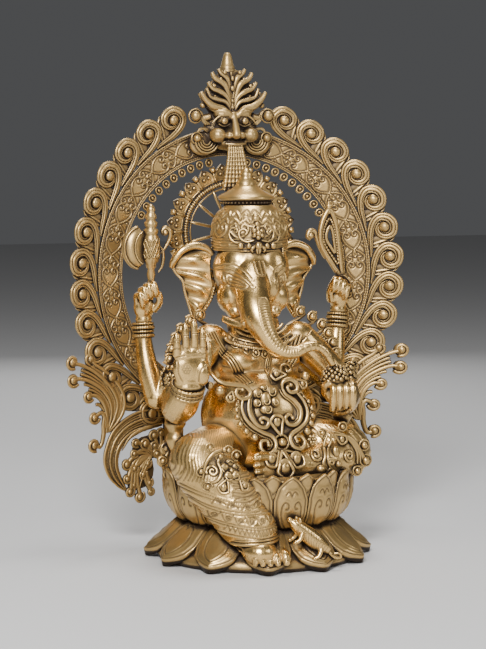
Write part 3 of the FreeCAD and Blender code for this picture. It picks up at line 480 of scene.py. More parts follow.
def brass_material(name, finish, depth, base, bright, mottle):
    """Antique brass: the metal's colour on the high places, darkened toward the patina colour as painted
    shade where a short ray finds a neighbour (other pieces and the floor included), as patina and painted
    shade where the chasing is deep, and as patina in soft clouds."""
    shader = Shader(name)
    place = shader.add("ShaderNodeTexCoord", output=3)
    worn = shader.add("ShaderNodeTexNoise", {}, {"Vector": place, "Scale": 42.0, "Detail": 4.0})
    fine = shader.add("ShaderNodeTexNoise", {}, {"Vector": place, "Scale": 420.0, "Detail": 2.0})
    # Ambient occlusion: the next node turns a closed-in place into painted shade, shaken a little by the
    # noise.
    open_air = shader.add("ShaderNodeAmbientOcclusion", {"samples": 8}, {"Distance": finish.reach}, output=1)
    chased = shader.add("ShaderNodeAttribute", {"attribute_name": "patina_and_shade"}, {}, output=2)
    hidden = shader.add("ShaderNodeMapRange", {"interpolation_type": "SMOOTHSTEP"},
                        {"Value": open_air + (worn - 0.5) * mottle, "From Min": OPEN_AIR,
                         "From Max": OPEN_AIR - 0.5 / depth**0.75, "To Min": 0.0, "To Max": 1.0})
    clouds = shader.add("ShaderNodeMapRange", {}, {"Value": worn, "From Min": 0.5, "From Max": 0.8,
                                                   "To Min": base, "To Max": base + 1.2 * mottle})
    # The dark share: painted shade from the occlusion, patina and painted shade from the chased attribute,
    # and patina clouds.
    dark = hidden.at_least(chased * 0.95).at_least(clouds)
    metal = [part * bright for part in finish.brass]
    colour = shader.add("ShaderNodeMix", {"data_type": "RGBA"},
                        {0: dark, 6: (*metal, 1), 7: (*finish.patina_and_shade, 1)}, output=2)
    bump = shader.add("ShaderNodeBump", {}, {"Strength": 0.12, "Distance": 0.0006, "Height": fine})
    return shader.set(Base_Color=colour, Metallic=1.0 - dark * 0.65,
                      Roughness=finish.polish + dark * 0.35 + (fine - 0.5) * 0.12, Normal=bump)


def finish_of(name):
    """A material by name, made the first time it is asked for."""
    made = bpy.data.materials.get(f"cast_{name}")
    if made:
        return made
    return brass_material(f"cast_{name}", bpy.context.scene.brass_finish, **BRASS_LOOKS[name])


def show(name, made, finish, *nodes):
    """Puts a cast or a finished mesh in the scene as a piece, in place of CAD nodes."""
    mesh = made.mesh(name) if isinstance(made, Cast) else made
    mesh.materials.clear()
    mesh.materials.append(finish_of(finish))
    item = bpy.data.objects.new(name, mesh)
    bpy.context.scene.collection.objects.link(item)
    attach(item, "root")
    if nodes:
        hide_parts(*nodes)
    return item


# --- arch -------------------------------------------------------------------------------------------


def arch_bent(points):
    """Moves points from the flat sheet to the bent one: each goes back by where the bend's circle lies
    at its X. In the flat sheet Y is 0 at the back and negative toward the front."""
    sizes = bpy.context.scene.arch_sizes
    moved = np.array(points, float)
    across = np.clip(moved[..., 0], -sizes.bend, sizes.bend)
    moved[..., 1] += sizes.back - sizes.bend + np.sqrt(sizes.bend**2 - across**2)
    return moved


def on_arch(angle, rim, side):
    """A mover from a flat strip (along the rim, depth, out from the rim) to the bent arch, about an
    angle from the top, with the rim at a radius."""
    sizes = bpy.context.scene.arch_sizes

    def move(points):
        turn = math.radians(angle) + points[..., 0] / (rim + 10)
        radius = rim + points[..., 2]
        flat = np.stack([side * radius * np.sin(turn), points[..., 1], sizes.middle + radius * np.cos(turn)],
                        -1)
        return arch_bent(flat)

    return move


def heart_lines():
    """Curves of one motif of the band, in a strip (along, across): a heart made of two curls, and the
    scrolls between it and the next."""
    heart = spline([(12, 0), (6, 6.5), (0, 9.6), (-5, 9.6), (-8.4, 6.6), (-7.6, 3), (-4.6, 2), (-3, 4.2),
                    (-4.6, 5.6)], 70)
    scroll = spline([(13, 2.5), (15.5, 6.5), (20, 10.6), (24.5, 8.4), (24, 4.6), (20.6, 4.2), (20, 6.6)], 60)
    leaf = spline([(8, 9.5), (12, 12.4), (17, 12.2)], 24)
    stem = spline([(13.5, 0), (17, 1.4), (20, 0), (17, -1.4), (13.5, 0)], 24)
    flip = np.array([1, -1])
    return mirrored([heart, scroll, leaf], flip) + [stem]


def arch_band():
    """Both halves of the band: a strip over angle and radius whose height follows the distance to the
    motif's lines, with corded rims, closed by a flat back."""
    sizes = bpy.context.scene.arch_sizes
    middle = (sizes.inner + sizes.outer) / 2
    half = (sizes.outer - sizes.inner) / 2
    length = math.radians(sizes.sweep) * middle
    pitch = length / sizes.hearts
    along = np.linspace(0, length, 760)[:, None]
    across = np.linspace(-half, half, 56)[None]
    cell = np.stack(np.broadcast_arrays((along - 9) % pitch - 9, across), -1)
    scaled = cell * np.array([34.0 / pitch, 1.0])
    shifted = scaled + np.array([34.0, 0.0])
    lines = heart_lines()
    gap = np.minimum(nearness(scaled, lines), nearness(shifted, lines))
    field = np.clip((half - 3.6 - np.abs(across)) / 0.6, 0, 1)
    ridge = 0.9 * np.exp(-((gap / 0.75) ** 2)) * field
    cut = np.exp(-(((gap - 1.6) / 0.75) ** 2)) * field
    edge = half - np.abs(across)
    cords = 0.9 * np.maximum(np.exp(-(((edge - 0.9) / 0.7) ** 2)), np.exp(-(((edge - 2.9) / 0.6) ** 2)))
    twist = 1 + 0.25 * np.sin(along * 2.2 + np.sign(across))
    groove = np.maximum(np.exp(-(((edge - 1.95) / 0.5) ** 2)), np.exp(-(((edge - 4.2) / 0.7) ** 2)))
    lift = 5.4 + ridge - 0.5 * cut + cords * twist - 0.4 * groove
    angle, radius = along / middle, middle + across
    # The cuts beside the ridges and the grooves between the cords are painted dark: painted shade with
    # patina.
    dark = np.clip(1.1 * cut + 1.0 * groove, 0, 1)
    band = Cast()
    for side in (1, -1):
        flat = np.stack([side * radius * np.sin(angle), -lift, sizes.middle + radius * np.cos(angle)], -1)
        back = flat[:, ::-8].copy()
        back[..., 1] = 0
        shade = np.concatenate([dark, np.zeros(back.shape[:2])], 1)
        band.add(arch_bent(np.concatenate([flat, back], 1)), shade)
    return band


# Angles from the top of the arch, in degrees: the first crest scroll and the first bead, and their steps.
CREST_FIRST, CREST_STEP = 20.9, 10.65
BEAD_FIRST, BEAD_STEP, BEADS, BEAD_RADIUS = 10.5, 5.3, 10, 127.0


def crest_scroll():
    """One crest scroll in the rim's strip: a grooved stem that leaves the rim, climbs and curls round a
    ball, and a folded leaf beside it."""
    unit_cast = Cast()
    stem = spline([(33, 2.2), (22, 3.0), (8, 5.0), (-3, 9.5), (-9.5, 16), (-10.5, 23), (-6, 30), (1, 32),
                   (8, 29), (10.4, 22.5), (7.4, 16.6), (1.6, 15.2), (-2.6, 18.8), (-1.8, 22.6)], 96)
    share = np.linspace(0, 1, 96)
    width = np.interp(share, [0, 0.15, 0.5, 0.75, 1], [1.8, 3.4, 4.9, 3.8, 1.8])
    for shift, size in ((-0.66, 0.46), (0.0, 0.52), (0.66, 0.46)):
        side = unit(np.gradient(stem, axis=0))[:, ::-1] * np.array([1, -1])
        strand = stem + side * (width * shift)[:, None]
        unit_cast.add(upright(strand, -3.0 - 1.0 * (shift == 0), width * size, sides=7))
    unit_cast.ball((0.6, -5.4, 21.5), (5.6, 4.6, 5.6))
    # A flat disc behind the curl, painted dark: painted shade in the openwork, with patina.
    unit_cast.add(orb((0, -0.8, 20), (12.5, 1.8, 13.5), 9, 20), 0.9)
    leaf = standing(spline([(21, 0.5), (19.4, 8), (18.2, 16), (16.4, 24), (12.6, 32)], 22), -1.6)
    half = swell(22, [0, 0.25, 0.5, 0.8, 1], [1.6, 4.4, 5.2, 3.6, 0.2])
    groove = lambda s, t: -2.2 * np.exp(-((t / 0.2) ** 2))
    unit_cast.add(blade(leaf, (1, 0, 0.15), (0, -1, 0), half, 3.0, 12, 2.4, groove))
    # A web behind the stem and leaf, painted dark: painted shade in the openwork, with patina.
    web = spline([(14, 1), (12.6, 8), (13, 16), (12.2, 24), (9.5, 28)], 12)
    unit_cast.add(upright(web, -0.9, [1.5, 3, 4.4, 4.4, 4.4, 4.4, 4.2, 4, 3.6, 3, 1.4, 0.5], sides=8,
                          flat=0.4), 0.8)
    return unit_cast


def make_crest():
    """The crest scrolls of both sides."""
    sizes = bpy.context.scene.arch_sizes
    unit_cast = crest_scroll()
    crest = Cast()
    for side in (1, -1):
        for number in range(sizes.scrolls):
            crest.join(unit_cast, on_arch(CREST_FIRST + CREST_STEP * number, sizes.outer, side))
    return crest


def make_arch_beads():
    """The inner row: each a ring with a ball, at even angles."""
    turn = circle(16)
    ring = np.stack([4.1 * np.cos(turn), np.full(16, -4.4), 4.1 * np.sin(turn)], -1)
    one = Cast().ball((0, -2.5, 0), (5.0, 2.4, 5.0), 7, 14)
    one.ball((0, -4.6, 0), (2.2, 2.2, 2.2), 6, 10).add_closed(ring_of(ring, 1.25))
    row = Cast()
    for side in (1, -1):
        for number in range(BEADS):
            row.join(one, on_arch(BEAD_FIRST + BEAD_STEP * number, BEAD_RADIUS, side))
    return row


def ring_of(path, radius, sides=7, facing=(0, -1, 0)):
    """A closed tube round a closed path, its section turned with the path."""
    ahead, behind = np.roll(path, -1, 0), np.roll(path, 1, 0)
    along = unit(ahead - behind)
    side = unit(np.cross(along, np.asarray(facing, float)))
    up = np.cross(side, along)
    size = np.broadcast_to(np.asarray(radius, float), (len(path),))[:, None, None]
    angle = circle(sides)[None, :, None]
    return path[:, None] + size * (np.cos(angle) * side[:, None] + np.sin(angle) * up[:, None])


def curl(cast, tip, come_from, size, y, wire):
    """A plume's end: a spiral that a strand runs into, round a ball. come_from is the way it arrives."""
    angle = math.atan2(tip[1] - come_from[1], tip[0] - come_from[0])
    # A flat orb behind the spiral, painted dark: painted shade in the openwork, with patina.
    cast.add(orb((tip[0], -1.2, tip[1]), (size * 0.95, 1.6, size * 0.95), 7, 14), 0.9)
    path = spiral(tip, size, size * 0.35, angle - math.pi * 0.75, 1.25, 30)
    cast.add(upright(path, y, wire, sides=7))
    cast.ball((tip[0], y - 0.6, tip[1]), (size * 0.62, size * 0.55, size * 0.62), 7, 12)


WING_STRANDS = {
    "inner": [(151, 135), (140, 145), (132, 158), (131.5, 173), (140, 189), (156, 204), (168, 212),
              (174, 219)],
    "upper": [(152, 135), (143, 151), (140, 168), (149, 186), (166.5, 202), (184, 212), (197, 216)],
    "middle": [(153, 135), (148, 153), (149, 168), (159, 183), (175, 193.5), (188, 198), (196.5, 197)],
    "side": [(154, 134), (153.5, 153), (158, 168), (167, 177), (176, 178)],
    "low": [(156, 140), (155, 148), (160, 157), (168, 154)],
    "hook": [(156, 158), (158, 145), (158, 132), (162, 120), (169, 121)],
}
WING_CURLS = [((174, 219), 6.0), ((198, 217), 6.6), ((197, 197), 6.6), ((177, 177), 5.6),
              ((169.5, 152.5), 5.8), ((170, 121.5), 6.2)]
VOLUTE_OUT = [(76, 152), (104, 155), (126, 149), (144, 136), (154, 118), (157, 101), (151, 84), (140, 72),
              (131, 66)]
VOLUTE_IN = [(82, 137), (104, 133), (122, 128), (134, 118), (140, 106), (140, 93), (136, 82), (132, 74),
             (129, 67)]
CLUSTER = [((92.6, 126), 5.4), ((104, 117), 5.6), ((128, 95.5), 5.6), ((127.5, 79), 5.0), ((124, 64), 5.2),
           ((111.5, 56.5), 5.6), ((99, 71.5), 4.2), ((97, 61), 3.4), ((89, 104.5), 4.4), ((80, 104.5), 4.4),
           ((73, 125), 5.2), ((77, 115), 4.4), ((118, 107), 4.4), ((119, 71), 3.6), ((101, 94), 4.4),
           ((116, 119), 4.6), ((118, 90), 4.6), ((107, 82), 4.8), ((92, 114), 4.6), ((84, 128), 4.8)]


def make_wing():
    """One wing in the flat sheet: a fan of strands between two edges, each group ending in a curl, a
    ribbed volute below it, and a spray of curled leaves."""
    wing = Cast()
    paths = [spline(points, 60) for points in WING_STRANDS.values()]
    for first, second, count in ((0, 1, 4), (1, 2, 3), (2, 3, 3), (3, 4, 2)):
        for share in np.linspace(0, 1, count, endpoint=False):
            path = paths[first] * (1 - share) + paths[second] * share
            keep = int(60 * (0.86 if share else 1.0))
            girth = swell(keep, [0, 0.4, 1], [1.8, 3.0, 2.2])
            wing.add(upright(path[:keep], -3.0 - 1.2 * (share == 0), girth, sides=7))
    for path in paths[3:]:
        wing.add(upright(path, -3.8, swell(60, [0, 0.5, 1], [2.6, 3.2, 2.4]), sides=8))
    for (tip, size), path in zip(WING_CURLS, paths):
        curl(wing, tip, path[-6], size * 1.15, -3.5, 2.3)
    outer, inner = spline(VOLUTE_OUT, 64), spline(VOLUTE_IN, 64)
    for number, share in enumerate(np.linspace(0, 1, 8)):
        path = outer * (1 - share) + inner * share
        girth = swell(64, [0, 0.45, 1], [1.3, 2.5, 0.9])
        beads = 1 + 0.16 * np.sin(np.arange(64) * 2.6) * (number % 2)
        wing.add(upright(path, -3.0 - 1.5 * (number % 3 == 0), girth * beads, sides=7))
    # Sheets behind the volute and between the edge strands, painted partly dark: painted shade in the
    # openwork, with patina.
    floor = np.stack([standing(outer, -1.0), standing(inner, -1.0), standing(inner, 0.0),
                      standing(outer, 0.0)], 1)
    wing.add(floor, 0.6)
    edge_in, edge_out = paths[0][:52], paths[3][:52]
    wing.add(np.stack([standing(edge_in, -1.4), standing(edge_out, -1.4), standing(edge_out, 0.0),
                       standing(edge_in, 0.0)], 1), 0.6)
    tongue = spline([(134, 112), (124, 126), (108, 134), (94, 137)], 24)
    wing.add(upright(tongue, -4.2, swell(24, [0, 0.5, 0.9, 1], [0.8, 3.2, 3.0, 0.8]),
                 sides=8))
    root = np.array([95.5, 104.0])
    # Plates behind the spray of leaves, painted dark: painted shade in the openwork, with patina.
    for middle, size in (((100, 112), (20, 1.5, 14)), ((107, 86), (15, 1.5, 20)), ((117, 74), (10, 1.5, 10)),
                         ((82, 122), (11, 1.5, 9))):
        wing.add(orb((middle[0], -1.0, middle[1]), size, 9, 20), 0.95)
    for tip, size in CLUSTER:
        tip = np.array(tip)
        lean = (tip - root)[::-1] * np.array([-0.22, 0.22])
        stem = spline([root, root + (tip - root) * 0.5 + lean, tip - (tip - root) * 0.04], 20)
        wing.add(upright(stem, -3.2, np.linspace(2.4, 3.4, 20), sides=7))
        curl(wing, tip, stem[-4], size * 1.15, -4.2, 2.0)
    for tip, wide in (((121, 88), 4.6), ((110, 84), 4.6), ((103, 92), 4.2), ((112, 68), 4.4),
                      ((107, 110), 4.0)):
        stem = spline([root, (root + tip) / 2 + (1, 2), tip], 20)
        wing.add(upright(stem, -3.6, wide * np.sin(np.linspace(0.25, math.pi, 20)) + 0.2, sides=8, flat=0.55))
        wing.add(upright(stem, -5.4, 0.9, sides=6))
    return wing


def make_wings():
    """Both wings, bent with the arch."""
    wing = make_wing()
    return Cast().join(wing, arch_bent).join(wing, lambda points: arch_bent(flipped(points)))


class IDOL_OT_arch(bpy.types.Operator):
    """Builds the arch: its engraved band, crest scrolls, beads and wings"""

    bl_idname = "idol.arch"
    bl_label = "Arch"

    def execute(self, context):
        show("arch_band", arch_band(), "brass_arch", "arch_band_left", "arch_band_right")
        show("arch_crest", make_crest(), "brass_arch", "arch_scrolls_left", "arch_scrolls_right")
        show("bead_row", make_arch_beads(), "brass_arch", "arch_beads")
        show("wings", make_wings(), "brass_arch", "wing_left", "wing_right")
        return {"FINISHED"}


# --- mask -------------------------------------------------------------------------------------------


def make_mask():
    """The lion-like mask: a melted core of brow, cheeks, nose and lips, worked symmetrically."""
    core = Cast()
    core.ball((0, 92, 474), (33, 8, 26))
    core.ball((0, 93, 508), (33, 6, 27))
    core.ball((0, 93, 530), (17, 5, 12))
    for side in (1, -1):
        core.ball((side * 11, 84, 490), (12, 9, 6))
        core.ball((side * 12.2, 82, 482.5), (7.6, 7, 5.6))
        core.ball((side * 19.5, 79, 466.5), (9.5, 11, 8.5))
        core.ball((side * 7.4, 74, 466), (5.0, 6, 4.2))
        core.ball((side * 33, 92, 456), (16, 5, 13))
        brow = spline([(side * 3, 80, 486), (side * 10, 78, 493), (side * 22, 82, 495), (side * 31, 88, 503),
                       (side * 37, 92, 514)], 24)
        core.add(rod(brow, np.linspace(4.2, 2.2, 24), sides=10))
        core.add(rod(spline([(side * 24, 88, 488), (side * 34, 90, 486), (side * 42, 92, 492)], 14), 4.5,
                     sides=10))
    nose = spline([(0, 80, 492), (0, 76, 482), (0, 70, 470), (0, 69, 465)], 20)
    core.add(rod(nose, [3.2 + 0.12 * n for n in range(20)], sides=10)).ball((0, 71, 466), (5.2, 6, 4.6))
    core.add(rod(spline([(-14, 80, 458), (0, 75, 457.5), (14, 80, 458)], 20), 3.0, sides=10))
    return melt(core, "mask_core", 0.9, 3)


def mask_ornament():
    """Raised scrollwork of the mask: curls, feathers and balls on each side, and the mane's stripes."""
    trim = Cast()
    for side in (1, -1):
        def strand(points, depth, size, sides=7):
            path = spline([(side * x, z) for x, z in points], 30)
            trim.add(upright(path, depth, size, sides=sides))

        taper = swell(30, [0, 0.5, 1], [1.0, 2.0, 1.0])
        strand([(3, 488), (12, 496), (24, 499), (33, 506), (39, 515)], 80, taper * 2.3)
        strand([(2, 492), (8, 503), (18, 506), (27, 509), (31, 519)], 83, taper * 1.9)
        strand([(2, 494), (6, 508), (14, 515), (24, 519), (29, 526)], 84, taper * 2.0)
        strand([(2, 496), (5, 512), (10, 524), (20, 530), (24, 537)], 85, taper * 2.2)
        strand([(1, 500), (3, 518), (6, 530), (13, 536), (16, 541)], 86, taper * 1.9)
        strand([(4, 486), (12, 489.5), (20, 486), (26, 480)], 78, taper * 0.9)
        strand([(5, 479), (12, 476.5), (19, 479)], 77, 1.1)
        for shift in (0, 2.6, 5.2):
            strand([(25 + shift, 478), (33 + shift * 0.6, 484), (36, 492 - shift), (43, 496 - shift),
                    (48, 489)], 87, 1.2)
            strand([(23 + shift, 470), (32 + shift, 474), (40 + shift * 0.5, 470 - shift), (43, 462 - shift)],
                   87, 1.2)
        for radius in (4.5, 7.5, 10.5, 13.5):
            arc = spiral((30, 460), radius, radius * 1.02, math.radians(185), 0.52, 26)
            trim.add(upright(arc * np.array([side, 1]), 86.5 - radius * 0.1, 1.35, sides=7))
        curl_at = [((43.5, 488), 6.0), ((42, 463), 4.6), ((35.5, 500), 3.4), ((29, 514), 2.6),
                   ((22, 522), 2.8), ((14, 529), 2.6), ((26, 524), 2.2), ((9, 537), 2.4), ((21, 510), 2.4)]
        for (x, z), size in curl_at:
            trim.ball((side * x, 84, z), (size, size * 0.9, size), 7, 12)
            if size > 4:
                ring = spiral((side * x, z), size + 1.6, size + 1.4, 0, 0.99, 22)
                trim.add(upright(ring, 86, 1.2, sides=6))
        trim.ball((side * 12.2, 75.6, 482), (4.3, 3.2, 4.0), 9, 16)
        trim.add(orb((side * 12.2, 72.7, 482), (1.5, 0.9, 1.5), 6, 10), 0.7)
    for z, size in ((497, 3.4), (505, 2.4), (519, 3.0), (530, 2.4)):
        trim.ball((0, 84, z), (size, size, size * 1.2), 7, 12)
    trim.add(rod(spline([(0, 82, 492), (0, 86, 512), (0, 88, 538)], 20), 1.6, sides=8))
    return trim


def make_finial():
    """The turned point on top of the mask."""
    top = [(0.5, 533), (8, 534), (9.6, 537), (9.8, 540), (8.2, 541.5), (8.6, 543.5), (7.4, 545), (6.6, 549),
           (5.0, 555), (4.0, 558.2), (2.2, 559.8), (0.4, 560)]
    return Cast().add(lathe(top, (-1, 98, 0), 32))


def make_tassel():
    """Strings of small beads that spread as they fall: each a tube whose girth swells bead by bead."""
    tassel = Cast()
    step = np.arange(66)
    girth = 1.5 + 0.55 * np.abs(np.sin(step * math.pi / 5.5))
    for number in range(7):
        lean = number - 3
        path = spline([(lean * 2.3, 73.5 + 0.4 * abs(lean), 457), (lean * 3.0, 71, 440),
                       (lean * 4.0, 69.5, 422), (lean * 4.9, 69, 404)], 66)
        tassel.add(rod(path, girth * (1 + 0.012 * step), sides=8))
    tassel.add(rod(spline([(-11, 76, 457), (0, 72, 456), (11, 76, 457)], 20), 2.0, sides=8))
    return tassel


class IDOL_OT_mask(bpy.types.Operator):
    """Builds the mask at the top of the arch, its finial and its beaded strings"""

    bl_idname = "idol.mask"
    bl_label = "Mask"

    def execute(self, context):
        show("mask_face", make_mask(), "brass_arch", "mask")
        show("mask_scrollwork", mask_ornament(), "brass_arch")
        show("finial", make_finial(), "brass_arch", "mask_finial")
        show("tassel", make_tassel(), "brass_arch", "mask_tassel")
        return {"FINISHED"}


# --- halo -------------------------------------------------------------------------------------------


HALO = np.array([0, 88, 357])


def about_halo(radius, angle):
    """A place at a radius and an angle from the top of the halo, clockwise from the front."""
    turn = np.radians(angle)
    return np.stack([radius * np.sin(turn), HALO[1] + 0.0 * turn, HALO[2] + radius * np.cos(turn)], -1)


def make_halo():
    """Wheel behind the head: a milled ring, spokes, and an edge of heart petals with studs between."""
    halo = Cast()
    angle = np.linspace(0, 360, 720, endpoint=False)
    mill = 3.0 + 0.5 * np.sign(np.sin(np.radians(angle) * 120))
    halo.add_closed(ring_of(about_halo(55.0, angle), mill, 9))
    for radius, size in ((49.6, 1.2), (22.0, 2.2), (60.0, 1.3)):
        halo.add_closed(ring_of(about_halo(radius, np.linspace(0, 360, 120, endpoint=False)), size, 7))
    for number in range(14):
        ends = about_halo(np.linspace(21, 53, 4), np.full(4, 360 * number / 14))
        halo.add(rod(ends, 1.7, sides=8))
    halo.add(turned(orb((0, 0, 0), (22, 22, 2.5), 7, 40), 90, (0, 0, 0), 0) + HALO)
    for number in range(20):
        centre = 9 + 18.0 * number
        radial = about_halo(1.0, np.array(centre)) - about_halo(0.0, np.array(centre))
        side = about_halo(1.0, np.array(centre + 90)) - about_halo(0.0, np.array(centre))
        base = about_halo(59.5, np.array(centre))
        share = np.linspace(0, 1, 20)
        spine = base + radial * (share * 19 - 1.0)[:, None]
        half = np.interp(share, [0, 0.12, 0.32, 0.58, 0.8, 0.92, 1], [4.5, 8.6, 10.2, 9.4, 5.4, 2.4, 0.1])
        edge = lambda s, t: 1.5 * np.exp(-(((np.abs(t) - 0.84) / 0.13) ** 2)) + 0 * s
        halo.add(blade(spine, side, (0, -1, 0), half + 0.05, 3.0, 14, 0.6, edge))
        for out, wide in ((13.4, 0), (7.2, 3.0), (7.2, -3.0)):
            halo.ball(base + radial * out + side * wide + (0, -1.6, 0), (2.0, 1.7, 2.0), 6, 10)
        stud = about_halo(73.0, np.array(centre + 9)) + (0, -0.2, 0)
        corner = np.array([[-1, -1], [1, -1], [1, 1], [-1, 1]]) * 3.1
        block = np.array([stud + side * a + radial * b for a, b in corner])
        point = block * 0.35 + stud * 0.65 + (0, -4.4, 0)
        halo.add(np.stack([block + (0, 2.0, 0), block + (0, -2.0, 0), point]))
        halo.add(rod(about_halo(np.linspace(58, 71, 4), np.full(4, centre + 9)), 2.2, sides=7))
    return halo


class IDOL_OT_halo(bpy.types.Operator):
    """Builds the wheel behind the crown"""

    bl_idname = "idol.halo"
    bl_label = "Halo"

    def execute(self, context):
        show("halo", make_halo(), "brass_ornament", "halo_ring", "halo_spokes", "halo_petals")
        return {"FINISHED"}


# --- base -------------------------------------------------------------------------------------------


def arched_petal(stations, half, length, thick, crown, lines, cols, groove=0.8, raised=0.5):
    """One petal that points to the front. stations are (radius, height) from root to tip, half is its
    half-width at each row, and lines are chased into it in its own flat plane (across, along)."""
    rows = len(half)
    curve = spline(stations, rows)
    spine = np.stack([np.zeros(rows), -curve[:, 0], curve[:, 1]], -1)
    along = unit(np.gradient(spine, axis=0))
    out = unit(np.cross(along, np.array([1.0, 0, 0])))
    out *= np.sign((out * np.array([0, -1, 0.35])).sum(-1, keepdims=True))
    across = np.linspace(-1, 1, cols)[None] * half[:, None]
    travel = np.broadcast_to(np.linspace(0, length, rows)[:, None], across.shape)
    flat = np.stack([across, travel], -1)
    gap = nearness(flat, lines)
    edge = (half[:, None] - np.abs(across)) * np.ones_like(across)
    rim = np.exp(-(((edge - 3.0) / 1.25) ** 2)) * (travel > 0.1 * length)
    cut = np.maximum(np.exp(-((gap / 1.15) ** 2)), rim)
    lift = -groove * cut + raised * np.exp(-(((gap - 1.7) / 0.9) ** 2))
    grid = blade(spine, (1, 0, 0), out, half, thick, cols, crown, lambda s, t: lift)
    # The chased lines and the rim groove are painted dark: painted shade with patina.
    dark = np.zeros(grid.shape[:2])
    dark[:, :cols] = cut
    return grid, dark


def lower_petal(tip):
    """A broad pointed petal of the plinth with a raised drop between two curls, out to the radius tip."""
    share = np.linspace(0, 1, 54)
    half = np.interp(share, [0, 0.25, 0.48, 0.64, 0.8, 0.91, 1], [17, 23.5, 26.5, 23.5, 14.5, 6.5, 0.4])
    boss = spline([(0, 60), (6, 53), (11.5, 43), (13, 32), (9, 22), (3.5, 19), (0, 24)], 70)
    curl_line = spline([(2.5, 10), (8, 12), (13, 10.5), (14.5, 6.5), (11.4, 5.6)], 40)
    flip = np.array([-1, 1])
    lines = mirrored([boss, curl_line], flip)
    stations = [(70, 45), (80, 41.5), (91, 33), (103, 22), (tip - 14, 14.5), (tip - 6, 10.4), (tip, 8.8)]
    return arched_petal(stations, half, 72, 8.3, 7.0, lines, 44, 0.9, 0.9)


def upper_petal(reach, lift, cols):
    """A cupped petal of the seat, with a pointed outline and two facing curls."""
    share = np.linspace(0, 1, 60 if cols > 30 else 30)
    half = np.interp(share, [0, 0.15, 0.38, 0.6, 0.78, 0.9, 0.97, 1], [9, 15, 19.3, 19.6, 15.5, 9, 3.2, 0.3])
    curl_line = spline([(1.5, 10), (6, 15), (10.5, 24), (11, 33), (7.5, 38), (3.8, 36), (4, 32), (6.6, 31.8)],
                       70)
    spur = spline([(0, 44), (3, 49), (6.5, 46)], 24)
    foot = spline([(0, 4), (3.2, 8), (0, 12)], 20)
    flip = np.array([-1, 1])
    lines = mirrored([curl_line, spur, foot], flip)
    stations = [(76, 44), (86, 47.5), (94.5, 57), (99, 70), (100.5, 82), (102, 93), (106.5, 102)]
    stations = [(radius + reach, height + lift * (height - 44) / 58) for radius, height in stations]
    return arched_petal(stations, half, 66, 3.6, 4.6, lines, cols)


def ring_of_petals(petal, count, first):
    """Copies of a petal at even angles about Z."""
    ring = Cast()
    grid, dark = petal
    for number in range(count):
        ring.add(turned(grid, first + 360.0 * number / count), dark)
    return ring


class IDOL_OT_base(bpy.types.Operator):
    """Builds the two lotus tiers and the deck, and gives the CAD solids round them their brass"""

    bl_idname = "idol.base"
    bl_label = "Lotus base"

    def execute(self, context):
        sizes = context.scene.lotus_sizes
        plinth = ring_of_petals(lower_petal(sizes.lower_tip), sizes.lower_count, 180.0 / sizes.lower_count)
        drum = [(0.5, 0.4), (104, 0.4), (112, 1.5), (114, 7), (108, 13), (96, 24), (84, 34), (72, 44),
                (0.5, 44)]
        # The drum, mostly hidden under the petals, is painted a quarter dark: painted shade with patina.
        plinth.add(lathe(drum, (0, 0, 0), 72), 0.25)
        cord = circle(180)
        for radius, height, size in ((75.5, 46.2, 2.4), (79.5, 43.4, 1.8)):
            path = np.stack([radius * np.cos(cord), radius * np.sin(cord), np.full(180, height)], -1)
            plinth.add_closed(ring_of(path, size * (1 + 0.12 * np.sin(cord * 90)), 7, (0, 0, 1)))
        show("plinth_petals", plinth, "brass_base", "lotus_plinth")
        outer = ring_of_petals(upper_petal(2.0, 0.0, 40), sizes.upper_count, 0.0)
        show("seat_petals", outer, "brass_base", "seat_petals_outer")
        inner = ring_of_petals(upper_petal(-2.2, 1.5, 20), sizes.upper_count, 180.0 / sizes.upper_count)
        show("seat_petals_behind", inner, "brass_base", "seat_petals_inner")
        deck = [(0.5, 88), (90, 88), (95, 90), (97, 93), (95, 96), (88, 97.5), (80, 98), (0.5, 98)]
        # The deck between the petals is painted a quarter dark: painted shade with patina.
        cords = Cast().add(lathe(deck, (0, 0, 0), 90), 0.25)
        show("deck", cords, "brass_base", "seat_deck")
        for name in ("seat_core", "base_plate", "arch_foot"):
            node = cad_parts[name]
            node.data.materials.clear()
            node.data.materials.append(finish_of("brass_base" if name != "arch_foot" else "brass_arch"))
        return {"FINISHED"}


# --- figure -----------------------------------------------------------------------------------------

